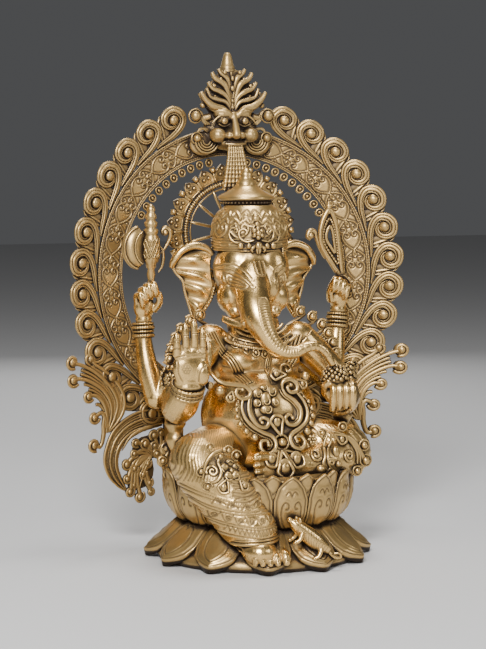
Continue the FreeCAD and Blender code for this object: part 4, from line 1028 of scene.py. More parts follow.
LIMBS = {
    "trunk": [(-3, 12, 350, 14), (-5, 9.5, 334, 16.5), (-7, 5, 320, 18.2), (-9.5, -4, 307, 19.2),
              (-12, -16, 294, 19.6), (-14, -28, 281, 19.0), (-13, -38, 266, 16.6),
              (-7, -46, 250, 12.4), (1, -52, 238, 9.8), (11, -57, 232, 8.0), (22, -60, 232.5, 7.2),
              (34, -62, 237.5, 6.4), (45, -64, 238, 5.7), (54.5, -65, 231, 5.0), (62, -65, 220, 4.4)],
    "upper_front_right": [(-54, 8, 238, 19), (-80, 0, 212, 18), (-97, -10, 190, 16.5), (-101, -16, 172, 16)],
    "fore_front_right": [(-101, -17, 170, 18), (-100, -32, 178, 18.5), (-98.5, -44, 192, 16.5)],
    "upper_front_left": [(54, 8, 238, 19), (80, 0, 212, 17), (97, -10, 190, 15.5), (101, -16, 174, 14)],
    "fore_front_left": [(101, -16, 174, 14), (93, -32, 170, 12.5), (82, -44, 173, 11)],
    "upper_rear_right": [(-48, 28, 238, 15), (-76, 36, 208, 14), (-98, 42, 182, 13), (-105, 43, 174, 12.5)],
    "fore_rear_right": [(-105, 43, 174, 12.5), (-112, 50, 206, 12), (-115, 56, 236, 9.5),
                        (-115.5, 57, 258, 8.5)],
    "upper_rear_left": [(48, 28, 238, 15), (76, 36, 210, 14), (98, 42, 190, 13), (105, 44, 184, 12.5)],
    "fore_rear_left": [(105, 44, 184, 12.5), (112, 50, 212, 12), (117, 56, 240, 9.5), (119, 57, 262, 8.5)],
    "thigh_right": [(-30, 0, 124, 28), (-60, -26, 122, 31), (-88, -50, 117, 31)],
    "shin_right": [(-88, -52, 114, 31), (-75, -65, 97, 33.5), (-59, -75, 78, 33.5), (-48, -83, 57, 30),
                   (-40, -89, 45, 27.5), (-38.5, -90, 33, 25.5)],
    "thigh_left": [(34, 0, 122, 28), (62, -18, 121, 31), (90, -30, 117, 31)],
    "shin_left": [(88, -40, 112, 22), (58, -52, 110, 19), (26, -58, 107, 15), (2, -62, 106, 11)],
}


def limb(name, count=40, sides=20):
    """A limb's tube through its stations (x, y, z, radius)."""
    curve = spline(LIMBS[name], count)
    return rod(curve[:, :3], curve[:, 3], facing=(0.1, -1, 0.15), sides=sides)


BODY = [((0, -2, 158), (66, 54, 58)), ((0, 10, 214), (52, 33, 44)), ((0, 6, 124), (62, 46, 34)),
        ((0, 16, 256), (30, 26, 20)), ((22, -8, 218), (24, 18, 17)), ((-22, -8, 218), (24, 18, 17)),
        ((52, 12, 240), (21, 20, 19)), ((-52, 12, 240), (21, 20, 19))]


def front_of(balls, floor=999.0):
    """Returns the y of the front of a heap of ellipsoids (centre, half sizes) over points (x, z)."""

    def front(flat):
        nearest = np.full(flat.shape[:-1], floor)
        for middle, size in balls:
            size = np.broadcast_to(size, 3)
            across, up = (flat[..., 0] - middle[0]) / size[0], (flat[..., 1] - middle[2]) / size[2]
            inside = 1 - across**2 - up**2
            nearest = np.minimum(nearest, middle[1] - size[1] * np.sqrt(np.clip(inside, 0, None)))
        return nearest

    return front


def lay(cast, front, points, size, lift=0.0, count=40, end=0.0):
    """A rod laid over a front surface along points (x, z), with a ball at its end when asked for."""
    path = spline(points, count)
    path = standing(path, 0) + np.stack([0 * path[:, 0], front(path) - lift, 0 * path[:, 0]], -1)
    if np.ndim(size) == 1 and len(size) != count:
        size = swell(count, np.linspace(0, 1, len(size)), size)
    cast.add(rod(path, size, facing=(0, -1, 0), sides=8))
    if end:
        cast.ball(path[-1] + (0, -0.3, 0), end, 7, 12)


def bead(cast, front, x, z, size, lift=0.0):
    """A ball that sits on a front surface."""
    cast.ball((x, front(np.array([[x, z]]))[0] - lift, z), size, 7, 12)


def teardrop(cast, front, top, tip, half, lift=0.0, size=1.5):
    """A drop between two points (x, z): its raised outline, and a filled heart."""
    top, tip = np.array(top, float), np.array(tip, float)
    way = tip - top
    side = np.array([-way[1], way[0]]) / np.linalg.norm(way)
    share = np.array([0, 0.16, 0.5, 0.78, 1, 0.78, 0.5, 0.16, 0])
    out = np.array([0, 0.55, 0.75, 1, 0.05, -1, -0.75, -0.55, 0]) * half
    out = out * np.array([1, 0.5, 1, 1, 1, 1, 1, 0.5, 1])
    lay(cast, front, top + share[:, None] * way + out[:, None] * side, size, lift, 48)
    middle = top + way * 0.64
    y = front(middle[None])[0] - lift
    cast.ball((middle[0], y, middle[1]), (half * 0.62, 2.0, half * 0.8), 9, 14)
    # A plate behind the outline, painted half dark: painted shade in the hollow, with patina.
    backing = top + way * 0.6
    cast.add(orb((backing[0], y + 1.5, backing[1]), (half, 1.6, np.linalg.norm(way) * 0.36), 9, 14), 0.5)


def make_torso():
    """Belly, chest, shoulders and neck as one skin."""
    core = Cast()
    for middle, size in BODY:
        core.ball(middle, size, 19, 30)
    skin = melt(core, "torso_skin", 1.6, 10)
    crease = spline([(-46, 214), (-24, 209.6), (0, 208.4), (22, 209.6), (46, 214)], 60)
    chase(skin, [crease], 1.2, 0.8, lambda points, normals: normals[:, 1] < 0)
    return skin


EYE_LINES = [[(-42.5, 319), (-36.4, 324.6), (-27.6, 323.8), (-21, 318.4), (-16.8, 310.6)],
             [(-39.6, 318.4), (-33.4, 319.4), (-27, 315.6), (-21.8, 309.2), (-18, 303)],
             [(-37, 315.6), (-32, 314), (-27, 310.4), (-21.4, 303.4)],
             [(-37, 315.6), (-36.6, 308.6), (-32.4, 302.6), (-26.6, 299.8), (-21.4, 303.4)],
             [(-33, 310.6), (-29.6, 308.6), (-25.6, 303.6)], [(-33, 310.6), (-31.6, 305.4), (-25.6, 303.6)],
             [(26, 325), (18.6, 321.6), (13.8, 315), (12, 308)],
             [(27.6, 319.6), (22, 316), (17.4, 308), (16, 303)],
             [(29, 314), (23.4, 310.6), (18.4, 303.6), (16.6, 299)],
             [(29, 314), (29.6, 305.6), (25, 299.6), (16.6, 299)], [(26, 309), (21.6, 305), (20.6, 301.6)],
             [(26, 309), (26.4, 303.6), (20.6, 301.6)]]
MARK_LINES = [[(-9.2, 327.4), (-9, 316.4), (-6, 314), (-3, 315), (-2.8, 327.6)],
              [(-3, 315), (-0.2, 313.6), (2.8, 316.2), (2, 327.8)]]
HEAD = np.array([2.0, 28.0, 312.0])


def head_turned(points):
    """The head's own shapes, turned a little to the figure's right."""
    return turned(points, -10.0, HEAD)


def make_head():
    """Skull, cheeks, jaw and trunk as one skin, with the eyes, the mark and the trunk's ribs chased in."""
    core = Cast()
    parts = [orb(HEAD + (0, 0, 6), (43, 38, 40), 21, 32), orb(HEAD + (-15, -12, 12), (25, 25, 26), 15, 20),
             orb(HEAD + (15, -12, 12), (25, 25, 26), 15, 20), orb(HEAD + (0, -22, 2), (24, 17, 30), 15, 20)]
    for side in (1, -1):
        parts.append(orb(HEAD + (side * 25, -12, -24), (16, 20, 19), 15, 20))
        parts.append(orb(HEAD + (side * 30, -21, -3), (9, 9, 8), 11, 16))
        parts.append(orb(HEAD + (side * 21, -17, -40), (10, 14, 9), 11, 16))
    for side in (1, -1):
        parts.append(orb(HEAD + (side * 13, -30, -10), (14, 13, 19), 13, 18))
    parts.append(orb(HEAD + (0, -26, -4), (27, 18, 27), 17, 24))
    parts.append(orb(HEAD + (0, -10, -44), (26, 22, 16), 13, 20))
    for part in parts:
        core.add(head_turned(part))
    core.add(limb("trunk", 80, 24)).ball((62, -65, 219), 4.2)
    skin = melt(core, "head_skin", 1.0, 28)
    front = lambda points, normals: (normals[:, 1] < 0.35) & (points[:, 2] > 296)
    chase(skin, [spline(line, 50) for line in EYE_LINES], 0.8, 0.7, front, 0.35)
    chase(skin, [spline(line, 40) for line in MARK_LINES], 0.85, 0.7, front, 0.2)
    strip = spline([(-11, 291, 3.0), (-11, 287, 6.0), (-10.5, 274, 6.8), (-8, 259, 6.2), (0.5, 244, 5.2),
                    (12, 234.5, 4.2), (24, 233, 3.0)], 60)
    lean = unit(np.gradient(strip[:, :2], axis=0))[:, ::-1] * (1, -1)
    edges = [strip[:, :2] + lean * strip[:, 2:] * side for side in (1, -1)]
    ribs = []
    for number in range(2, 58, 2):
        share = np.linspace(-0.85, 0.85, 12)[:, None]
        ribs.append(strip[number, :2] + lean[number] * strip[number, 2] * share)
    front_low = lambda points, normals: (normals[:, 1] < 0.3) & (points[:, 1] < -20)
    chase(skin, [np.concatenate([edges[0], edges[1][::-1]])], 0.55, 0.5, front_low, 0.2)
    chase(skin, ribs, 0.5, 0.45, front_low)
    rings = []
    curve = spline(LIMBS["trunk"], 80)
    for number in range(60, 78, 3):
        centre, size = curve[number, :3], curve[number, 3]
        along = unit(curve[number + 1, :3] - curve[number - 1, :3])
        side = unit(np.cross(along, (0, -1, 0)))[None] * np.linspace(-size, size, 14)[:, None]
        rings.append((centre + side)[:, [0, 2]])
    chase(skin, rings, 0.5, 0.3, front_low)
    return skin


def make_ear(side):
    """An ear as a grid between its inner and outer edges, with folds that run out to the edge, a rim
    rolled forward at the top and a beaded lower edge. side is 1 for the figure's left."""
    inner = spline([(40, 38, 336), (43, 36, 326), (43, 34, 312), (42, 32, 300), (42, 34, 288), (50, 38, 274),
                    (59, 42, 263)], 60)
    outer = spline([(66, 50, 341), (82, 50, 326), (80, 50, 315), (73, 48, 306), (70, 48, 293), (66, 47, 279),
                    (62, 44, 262)], 60)
    s = np.linspace(0, 1, 60)[:, None]
    t = np.linspace(0, 1, 30)[None]
    grid = inner[:, None] * (1 - t[..., None]) + outer[:, None] * t[..., None]
    wave = 2.7 * np.sin(s * TAU * 4.2 + 0.8 + 1.2 * t) * np.sin(np.clip(t * 1.3, 0, 1) * math.pi / 2)
    cup = -5.0 * np.sin(t * math.pi * 0.9)
    grid[..., 1] += wave + cup
    back = grid[:, ::-3].copy()
    back[..., 1] += 3.0
    ear = Cast()
    # Darker in the hollows of the folds and along the inner edge by the head: painted shade with patina.
    dark = np.clip(0.35 * np.clip(wave / 2.7, 0, 1) + 0.25 * (t < 0.12), 0, 1) * np.ones_like(grid[..., 0])
    ear.add(np.concatenate([grid, back], 1), np.concatenate([dark, np.zeros(back.shape[:2])], 1))
    rim = spline([(39, 40, 334), (47, 40, 341), (60, 42, 344), (74, 43, 339), (83, 45, 328), (85, 48, 320)],
                 50)
    ear.add(rod(rim, swell(50, [0, 0.4, 0.8, 1], [3.4, 4.4, 4.0, 2.6]), sides=12))
    edge = spline([(84, 48, 321), (79, 48, 313), (72.5, 46, 305), (70, 46, 293), (66, 45, 279),
                   (61.5, 42.5, 261)], 50)
    ear.add(rod(edge, 1.7, sides=8))
    low = spline([(60.5, 42, 261), (51, 37, 272), (43.5, 33, 286), (41, 31, 298)], 40)
    ear.add(rod(low, 2.1, sides=8))
    for number in range(12):
        ear.ball(low[3 + number * 3] + (0, -1.6, 0), 1.5, 5, 8)
    if side > 0:
        return ear
    return Cast().join(ear, flipped)


def crown_relief(theta, height):
    """Raised scrollwork of the crown over the angle from its front and the height: facing curls that
    repeat round it, as a distance to their lines."""
    pitch = 36.0
    cell = (theta + pitch / 2) % pitch - pitch / 2
    flat = np.stack(np.broadcast_arrays(cell * 0.72, height), -1)
    curl_line = spline([(0, 15), (5, 17.5), (9.4, 22), (9.6, 28), (5.6, 30.5), (3, 27.6), (4.6, 24.8)], 60)
    leaf = spline([(0, 31), (3.4, 34), (8, 35.5), (11.6, 32)], 30)
    bud = spline([(0, 37), (3, 41), (7.6, 43.4), (11, 40.5)], 30)
    flip = np.array([-1, 1])
    return nearness(flat, mirrored([curl_line, leaf, bud], flip))


def make_crown():
    """Crown: a turned cap whose radius rises by a bell of the distance to each cord and scroll line and
    falls by one beside it, with a turned parasol and its ring of beads on top."""
    crown = Cast()
    theta = np.linspace(0, 360, 420, endpoint=False)[None]
    profile = spline([(42.0, 0), (42.6, 7), (42.8, 14), (42.6, 22), (41, 30), (37, 39), (31, 46), (27, 50)],
                     84)
    radius, height = profile[:, :1], profile[:, 1:]
    gap = crown_relief(theta, height)
    field = (height > 14.5) & (height < 48)
    ridge = np.where(field, 1.3 * np.exp(-((gap / 1.3) ** 2)), 0)
    cut = np.where(field, np.exp(-(((gap - 2.3) / 0.7) ** 2)), 0)
    cords = sum(np.exp(-(((height - row) / 0.8) ** 2)) for row in (0.9, 4.2, 10.4, 13.6))
    seams = sum(np.exp(-(((height - row) / 0.5) ** 2)) for row in (2.6, 5.7, 9.0, 12.0, 14.9))
    studs = 0.9 * np.exp(-((np.hypot((theta % 15 - 7.5) * 0.74, height - 7.3) / 1.5) ** 2))
    size = radius + ridge - 0.5 * cut + 0.9 * cords - 0.4 * seams + studs * (height < 12)
    turn = np.radians(theta)
    grid = np.stack([size * np.sin(turn), -size * np.cos(turn), height + 0 * turn], -1)
    # The cuts and the seams between the cords are painted dark: painted shade with patina.
    dark = np.clip(0.9 * cut + 0.7 * seams + 0 * turn, 0, 1)
    crown.add(grid[:, ::-1] + np.array([2, 33, 339]), dark[:, ::-1])
    shade = [(0.5, -9), (24, -9), (26, -7), (26, -4), (28, -3), (31.2, -1), (31.8, 1.2), (30.6, 3), (24, 6.4),
             (17, 10.4), (12.6, 13.6), (10.8, 16), (11.2, 18.4), (8.4, 20.6), (6.6, 25), (7.4, 27.4),
             (5.2, 30), (3.4, 33), (0.5, 34.5)]
    crown.add(lathe(shade, (2, 44, 396), 64))
    for angle in circle(40):
        crown.ball((2 + 27.5 * math.cos(angle), 44 + 27.5 * math.sin(angle), 391.5), 2.0, 5, 8)
    return crown


def make_fleuron():
    """The flower and leaves at the front of the crown, which lean back with the dome."""
    crest = Cast()

    def vine(points, size, depth=0.0, sides=8):
        path = spline(points, 26)
        x, z = path[:, 0], path[:, 1]
        rise = np.clip((z - 352) / 34, 0, 1)
        y = -11.0 - depth + 15 * rise**2 + 0.013 * (x - 2) ** 2
        crest.add(rod(np.stack([x, y, z], -1), size, sides=sides))

    def ball(x, z, size, depth=0.0):
        rise = max(0.0, (z - 352) / 34)
        crest.ball((x, -11.5 - depth + 15 * min(1, rise) ** 2 + 0.013 * (x - 2) ** 2, z),
                   (size, size * 0.75, size))

    taper = swell(26, [0, 0.4, 1], [1.2, 2.6, 0.7])
    centre = (-4.0, 359.5)
    for number in range(6):
        angle = TAU * number / 6 + math.pi / 6
        tip = (centre[0] + 7.2 * math.cos(angle), centre[1] + 7.2 * math.sin(angle))
        vine([centre, tip], swell(26, [0, 0.6, 1], [1.4, 3.1, 1.6]), 1.0)
    ball(*centre, 3.2, 3.0)
    ball(-4.0, 375, 4.6, 0.6)
    ball(-4.0, 369, 3.2, 0.8)
    vine([(-4, 372), (-4, 384)], swell(26, [0, 0.4, 1], [2.4, 3.4, 0.5]), 0.4)
    for side in (1, -1):
        def at(points):
            return [(-4 + side * (x + 4), z) for x, z in points]

        vine(at([(0, 352), (8, 350), (14, 354), (15, 361), (10, 364), (7, 360.5), (9.6, 357.6)]), 1.5)
        vine(at([(0, 366), (6, 368), (10, 374), (8, 380), (4, 379)]), 1.5)
        vine(at([(10, 348), (20, 350), (24, 358), (21, 365), (16, 363.5), (17.4, 359.6)]), 1.4, -0.8)
        vine(at([(-2, 346), (3, 342.5), (2, 338.5)]), taper * 0.9, 1.6)
        vine(at([(-3.4, 346), (-2.6, 341), (-3, 337)]), taper * 0.8, 2.0)
        ball(-4 + side * 18, 345.5, 3.6, 0.8)
        ball(-4 + side * 10, 345.5, 3.0, 1.2)
    ball(-4, 346, 4.2, 2.2)
    for height in np.linspace(341, 311, 13):
        crest.ball((28, -3.5, height), 1.7, 6, 9)
    return crest


class IDOL_OT_head(bpy.types.Operator):
    """Builds the head with its trunk and ears, and the crown"""

    bl_idname = "idol.head"
    bl_label = "Head"

    def execute(self, context):
        show("head_and_trunk", make_head(), "brass_figure", "head", "trunk")
        tusk = rod(spline([(-20, -16, 272), (-26, -28, 265), (-29, -36, 261)], 12), np.linspace(5.0, 4.0, 12))
        lip = rod(spline([(-42, -4, 266), (-34, -16, 261), (-24, -26, 259)], 12), np.linspace(3.6, 5.0, 12))
        show("tusk_stub", Cast().add(tusk).add(lip), "brass_figure", "tusks")
        show("left_ear", make_ear(1), "brass_figure", "ear_left")
        show("right_ear", make_ear(-1), "brass_figure", "ear_right")
        show("crown", make_crown(), "brass_ornament", "crown_band", "crown_dome", "crown_parasol")
        show("crest", make_fleuron(), "brass_ornament", "crown_crest")
        return {"FINISHED"}


# --- arms -------------------------------------------------------------------------------------------


def finger(cast, stations, size):
    """A finger through its joints, thicker at the root, with rounded ends."""
    path = spline(stations, 18)
    girth = size * swell(18, [0, 0.85, 1], [1.05, 0.88, 0.72])
    cast.add(rod(path, girth, facing=(0.2, -1, 0.1), sides=12))
    cast.ball(path[-1], girth[-1] * 1.02, 7, 12)


def make_right_hand():
    """Front right arm, raised open hand and its wrist."""
    core = Cast()
    core.add(limb("upper_front_right")).add(limb("fore_front_right"))
    core.ball((-101, -17, 171), 17)
    core.ball((-96, -53, 219), (20.5, 7.5, 23), 15, 24).ball((-97, -50, 204), (17, 9.5, 13), 13, 20)
    core.ball((-98, -47, 198), (16.8, 13, 9), 13, 20)
    core.ball((-97, -54, 233), (19.5, 6, 9), 11, 20).ball((-85, -57, 213), (8.5, 6, 14), 11, 16)
    for x, foot, tip, size in ((-113, 232, 254.5, 4.3), (-103.4, 234, 264.5, 4.5), (-93.6, 234, 268, 4.6),
                               (-84, 232, 259, 4.4)):
        finger(core, [(x, -54, foot), (x - 0.4, -56.5, (foot + tip) / 2), (x - 1.0, -57, tip)], size)
    finger(core, [(-79, -52, 214), (-75, -50, 230), (-75.5, -49, 244)], 4.6)
    skin = melt(core, "right_hand_skin", 0.9, 3)
    front = lambda points, normals: (normals[:, 1] < -0.1) & (points[:, 2] > 204) & (points[:, 1] < -45)
    lines = [[(-81, 222), (-87, 218), (-90, 212), (-90, 203)], [(-114, 231), (-103, 233), (-80, 234.5)],
             [(-112.5, 226), (-112, 214), (-106, 202)]]
    chase(skin, [spline(line, 40) for line in lines], 0.7, 0.7, front, 0.2)
    gaps = [[(-108.4, 236), (-109, 258)], [(-98.6, 237), (-99, 264)], [(-88.8, 236), (-89.4, 262)]]
    joints = []
    for x, tip in ((-113, 254.5), (-103.4, 264.5), (-93.6, 268), (-84, 259)):
        joints += [[(x - 3.6, z), (x + 3, z)] for z in (241, (244 + tip) / 2)]
    chase(skin, [spline(line, 30) for line in gaps + joints], 0.6, 0.6, front)
    petals = []
    for number in range(6):
        angle = TAU * number / 6
        petals.append(spiral((-103 + 3.0 * math.cos(angle), 218 + 3.0 * math.sin(angle)), 1.7, 1.7, 0, 1, 20))
    chase(skin, petals, 0.5, 0.4, front)
    return skin


def make_left_hand():
    """Front left arm and the hand that carries the sweets, its fingers curled down in front."""
    core = Cast()
    core.add(limb("upper_front_left")).add(limb("fore_front_left"))
    core.ball((101, -16, 174), 15)
    core.ball((75, -54, 184), (17, 10, 15), 13, 20)
    for x, drop in ((62.5, 0), (70.5, 1.5), (78.5, 2.0), (86.0, 0.5)):
        finger(core, [(x + 1.5, -58, 196), (x + 0.5, -67, 192), (x, -68.5, 180), (x - 0.3, -65, 168 + drop)],
               4.1)
    finger(core, [(60, -50, 184), (57, -58, 192), (59, -63, 199)], 4.4)
    return melt(core, "left_hand_skin", 0.9, 3)


def grip(core, joints, side):
    """Four fingers bent forward, in and down from their knuckles (x, z). side is 1 for the figure's left."""
    for x, z in joints:
        finger(core, [(x - side, 54, z - 8), (x + side, 50, z), (x - side, 43.5, z + 1),
                      (x - side * 3.4, 42.5, z - 7), (x - side * 4.4, 45, z - 12)], 3.7)


def make_axe_hand():
    """Rear right arm, with fingers closed round the axe."""
    core = Cast().add(limb("upper_rear_right")).add(limb("fore_rear_right")).ball((-105, 43, 175), 13)
    core.ball((-115, 55, 276), (12, 8.5, 15), 13, 18).ball((-115, 56, 262), (9.5, 8, 9), 11, 16)
    grip(core, ((-124, 289), (-119.5, 295), (-114, 299), (-108, 301)), -1)
    finger(core, [(-105, 53, 272), (-99.5, 48, 281), (-100.5, 44.5, 291)], 4.4)
    return melt(core, "axe_hand_skin", 0.9, 3)


def make_noose_hand():
    """Rear left arm, with the hand that holds the noose."""
    core = Cast().add(limb("upper_rear_left")).add(limb("fore_rear_left")).ball((105, 44, 185), 13)
    core.ball((119, 55, 281), (11.5, 9, 15), 13, 18).ball((119, 56, 267), (9.5, 8, 9), 11, 16)
    grip(core, ((127, 292), (122.5, 297), (117, 300), (111.5, 301)), 1)
    finger(core, [(109, 53, 277), (105.5, 48, 287), (109, 44.5, 300)], 4.4)
    return melt(core, "noose_hand_skin", 0.9, 3)


def cuff(cast, centre, along, radius, bands):
    """Bangle: closed cords round an arm, each at its offset along it."""
    along = unit(np.asarray(along, float))
    side = unit(np.cross(along, (0.0, -1.0, 0.0)))
    up = np.cross(side, along)
    turn = circle(72)[:, None]
    for offset, size in bands:
        out = radius * (np.cos(turn) * side + np.sin(turn) * up)
        ring = np.asarray(centre, float) + along * offset + out
        mill = size * (1 + 0.18 * np.sign(np.sin(turn[:, 0] * 24)))
        cast.add_closed(ring_of(ring, mill, 8, along))


def make_bangles():
    """Bangles of all four wrists, and the turned struts with curls under the front elbows."""
    rings = Cast()
    cuff(rings, (-98, -45, 195), (0.06, -0.42, 0.9), 17.4, [(-5.5, 1.9), (-1.0, 1.3), (4.0, 1.9)])
    cuff(rings, (-98, -45, 195), (0.06, -0.42, 0.9), 16.4, [(-3.2, 1.8), (1.4, 1.8)])
    cuff(rings, (84, -43, 173), (-0.75, -0.6, 0.1), 12.6, [(-2.6, 2.0), (2.0, 2.4)])
    cuff(rings, (-115.5, 57, 253), (0, 0.1, 1), 10.4, [(-9, 2.2), (-4.5, 1.5), (0, 2.4), (4.2, 1.6)])
    cuff(rings, (118.6, 57, 257), (0.1, 0.1, 1), 10.4, [(-9, 2.2), (-4.5, 1.5), (0, 2.4), (4.2, 1.6)])
    for side in (1, -1):
        strut = [(0.4, 158), (10, 157), (12, 152), (9, 147), (7, 143), (9.5, 139), (10.5, 134), (8, 128),
                 (5, 122), (0.4, 118)]
        rings.add(lathe(strut, (side * 99, -6, 0), 28))
        for x, z, size in ((106, 124, 6.0), (92, 122, 5.4), (110, 110, 5.4), (96, 106, 5.6), (104, 96, 4.6)):
            rings.ball((side * x, 4, z), size * 0.62, 7, 12)
            path = spiral((side * x, z), size, size * 0.6, math.pi / 2 * side, 1.3 * side, 30)
            rings.add(upright(path, 5, 1.9, sides=7))
            stem = spline([(side * 99, 132), (side * (x * 0.5 + 50), z + 8), (side * (x - 3), z + size)], 16)
            rings.add(upright(stem, 4, 2.4, sides=7))
    return rings


def flower(cast, centre, facing, size, petals=6):
    """A flower on a surface: petals round a ball, in the plane across facing."""
    facing = unit(np.asarray(facing, float))
    side = unit(np.cross(facing, (0, 0, 1.0)))
    up = np.cross(side, facing)
    centre = np.asarray(centre, float)
    for number in range(petals):
        angle = TAU * number / petals
        way = math.cos(angle) * side + math.sin(angle) * up
        path = centre + np.linspace(0.2, 1, 14)[:, None] * way * size
        girth = size * 0.34 * np.sin(np.linspace(0.35, 2.9, 14))
        cast.add(rod(path, girth, facing=facing, sides=8, flat=0.6))
    cast.ball(centre + facing * size * 0.15, size * 0.26, 7, 12)


def make_armlets():
    """Armlets: a flower in a ring of beads on each upper arm, and the row of curls down the shoulder."""
    plate = Cast()
    for side in (1, -1):
        centre = np.array([side * 104, -13, 202])
        facing = np.array([side * 0.75, -0.62, 0.15])
        flower(plate, centre + facing * 7, facing, 8.0, 8)
        up = np.array([0, 0, 1.0])
        across = unit(np.cross(facing, up))
        for number in range(14):
            angle = TAU * number / 14
            at = centre + facing * 5.4 + across * 11.5 * math.cos(angle) + up * 13.5 * math.sin(angle)
            plate.ball(at, 2.5, 6, 10)
        cuff(plate, (side * 93, -7, 200), (side * -0.3, 0.2, 0.9), 18.5,
             [(-3.5, 1.8), (0.5, 2.4), (4.5, 1.8)])
        for x, y, z, size in ((60, 25, 268, 5.6), (73, 22, 262, 5.8), (84, 20, 253, 6.0), (91, 18, 243, 6.0),
                              (96, 17, 232, 6.2), (99, 15, 221, 6.0)):
            plate.ball((side * x, y - 2, z), size * 0.72, 7, 12)
            ring = spiral((side * x, z), size + 0.4, size * 0.6, math.pi * (0.2 if side > 0 else 0.8),
                          1.2 * side, 26)
            plate.add(upright(ring, y - 2, 1.5, sides=7))
            stem = spline([(side * (x - 14), z - 14), (side * (x - 4), z - 9), (side * (x + size), z - 2)],
                          16)
            plate.add(upright(stem, y - 1, 2.2, sides=7))
    return plate


class IDOL_OT_arms(bpy.types.Operator):
    """Builds the four arms with their hands, bangles and armlets"""

    bl_idname = "idol.arms"
    bl_label = "Arms"

    def execute(self, context):
        show("right_hand", make_right_hand(), "brass_figure", "arm_front_right", "hand_front_right")
        show("left_hand", make_left_hand(), "brass_figure", "arm_front_left", "hand_front_left")
        show("axe_hand", make_axe_hand(), "brass_figure", "arm_rear_right", "hand_rear_right")
        show("noose_hand", make_noose_hand(), "brass_figure", "arm_rear_left", "hand_rear_left")
        show("bangle_cords", make_bangles(), "brass_ornament", "bangles")
        show("armlet_plates", make_armlets(), "brass_ornament", "armlets", "shoulder_scrolls")
        return {"FINISHED"}


# --- what the hands hold ----------------------------------------------------------------------------


def make_axe():
    """Axe: a turned shaft with a basket-work head, a crescent blade and a scroll behind it."""
    axe = Cast()
    shaft = [(0.4, 286), (3.4, 287), (4.2, 292), (3.6, 300), (4.6, 303), (3.6, 306), (5.0, 312), (3.8, 318),
             (5.6, 320), (6.2, 324), (8.6, 327), (9.2, 334), (9.2, 348), (8.6, 354), (7.0, 357), (8.4, 359),
             (8.4, 362), (5.6, 364), (7.2, 367), (7.4, 370), (4.6, 372.5), (6.4, 375), (6.2, 378), (4.0, 381),
             (5.0, 384), (3.6, 388), (0.4, 391)]
    axe.add(lathe(shaft, (-106, 57, 0), 30))
    for angle in np.arange(0, 360, 30.0):
        for way in (1, -1):
            turn = np.radians(angle + way * np.linspace(-30, 30, 16))
            path = np.stack([-106 + 9.2 * np.sin(turn), 57 - 9.2 * np.cos(turn), np.linspace(330, 352, 16)],
                            -1)
            axe.add(rod(path, 0.9, facing=(0, 0.1, 1), sides=6))
    arc = np.radians(np.linspace(78, -78, 30))
    outer = np.stack([-118 - 22 * np.cos(arc), 342 + 25 * np.sin(arc)], -1)
    inner = np.stack([-112 - 3.5 * np.cos(arc) ** 2, 342 + 14 * np.sin(arc)], -1)
    thin, full = 0.5, 3.0
    axe.add(np.stack([standing(outer, 57 - thin), standing(inner, 57 - full), standing(inner, 57 + full),
                      standing(outer, 57 + thin)], 1))
    for share in (0.12, 0.62):
        axe.add(upright(outer * (1 - share) + inner * share, 56 - 2.2 * share, 1.1, sides=7))
    scroll = spline([(-97, 334), (-90, 341), (-84, 352), (-84, 360), (-89, 364), (-93, 360), (-90.5, 356)],
                    40)
    axe.add(upright(scroll, 57, swell(40, [0, 0.5, 1], [1.0, 3.0, 1.8]), sides=8))
    axe.ball((-89.5, 56, 358.5), 3.4, 7, 12)
    tail = spline([(-98, 346), (-92, 336), (-93, 322), (-98, 314)], 30)
    axe.add(upright(tail, 57, swell(30, [0, 0.5, 1], [1.0, 2.2, 0.7]), sides=8))
    return axe


def make_noose():
    """Noose: nested pointed loops of beaded cord that end in a tail, and a curl at the side."""
    noose = Cast()
    loop = spline([(121, 304), (110, 320), (99.5, 337), (96, 352), (99, 368), (107, 381), (114, 369),
                   (117.5, 354), (119.5, 338), (121.5, 322), (123.5, 304)], 120)
    core = np.array([108.5, 350.0])
    for share, size, beads in ((1.0, 3.2, 0.0), (0.72, 1.7, 0.35), (0.42, 2.2, 0.0)):
        path = core + (loop - core) * np.array([share, share * (1.0 if share == 1 else 0.95)])
        girth = size * (1 + beads * np.sin(np.arange(120) * 1.9))
        noose.add(upright(path, 54.5, girth, sides=8))
    outer, inner = core + (loop - core) * 0.98, core + (loop - core) * 0.4
    # A sheet behind the loops, painted dark: painted shade in the openwork, with patina.
    noose.add(np.stack([standing(outer, 56), standing(inner, 56), standing(inner, 59), standing(outer, 59)],
                       1), 0.8)
    noose.add(lathe([(0.4, 376), (3.6, 377), (4.4, 380), (3, 382.5), (3.8, 385), (2.2, 389), (0.4, 391)],
                    (107, 55.5, 0), 20))
    hook = spline([(104, 326), (97, 338), (93, 348), (90, 356), (84, 357), (81.5, 351), (85, 348.5)], 50)
    noose.add(upright(hook, 56.5, swell(50, [0, 0.6, 1], [2.6, 3.2, 2.6]), sides=8))
    noose.ball((85, 55.5, 352), 3.8, 7, 12)
    for number in range(3):
        tail = spline([(121 + number * 1.5, 306), (126 + number * 2.5, 298), (131 + number * 2, 286)], 20)
        noose.add(upright(tail, 52 - number, np.linspace(1.8, 1.0, 20), sides=7))
    return noose


def make_sweets():
    """A heap of small round sweets: balls at even turns of a spiral over a dome."""
    # The dome under the sweets is painted partly dark: painted shade between them, with patina.
    heap = Cast().add(orb((69, -57, 202), (13, 12, 10), 11, 16), 0.6)
    number = np.arange(64)
    rise = 1 - (number + 0.5) / 64 * 1.25
    turn = number * 2.39996
    spread = np.sqrt(np.clip(1 - rise**2, 0, 1))
    spots = np.stack([69 + 13.5 * spread * np.cos(turn), -57 + 12.5 * spread * np.sin(turn), 203 + 12 * rise],
                     -1)
    for spot, size in zip(spots, 2.3 + 0.5 * np.sin(number * 1.7)):
        heap.ball(spot, size, 6, 9)
    return heap


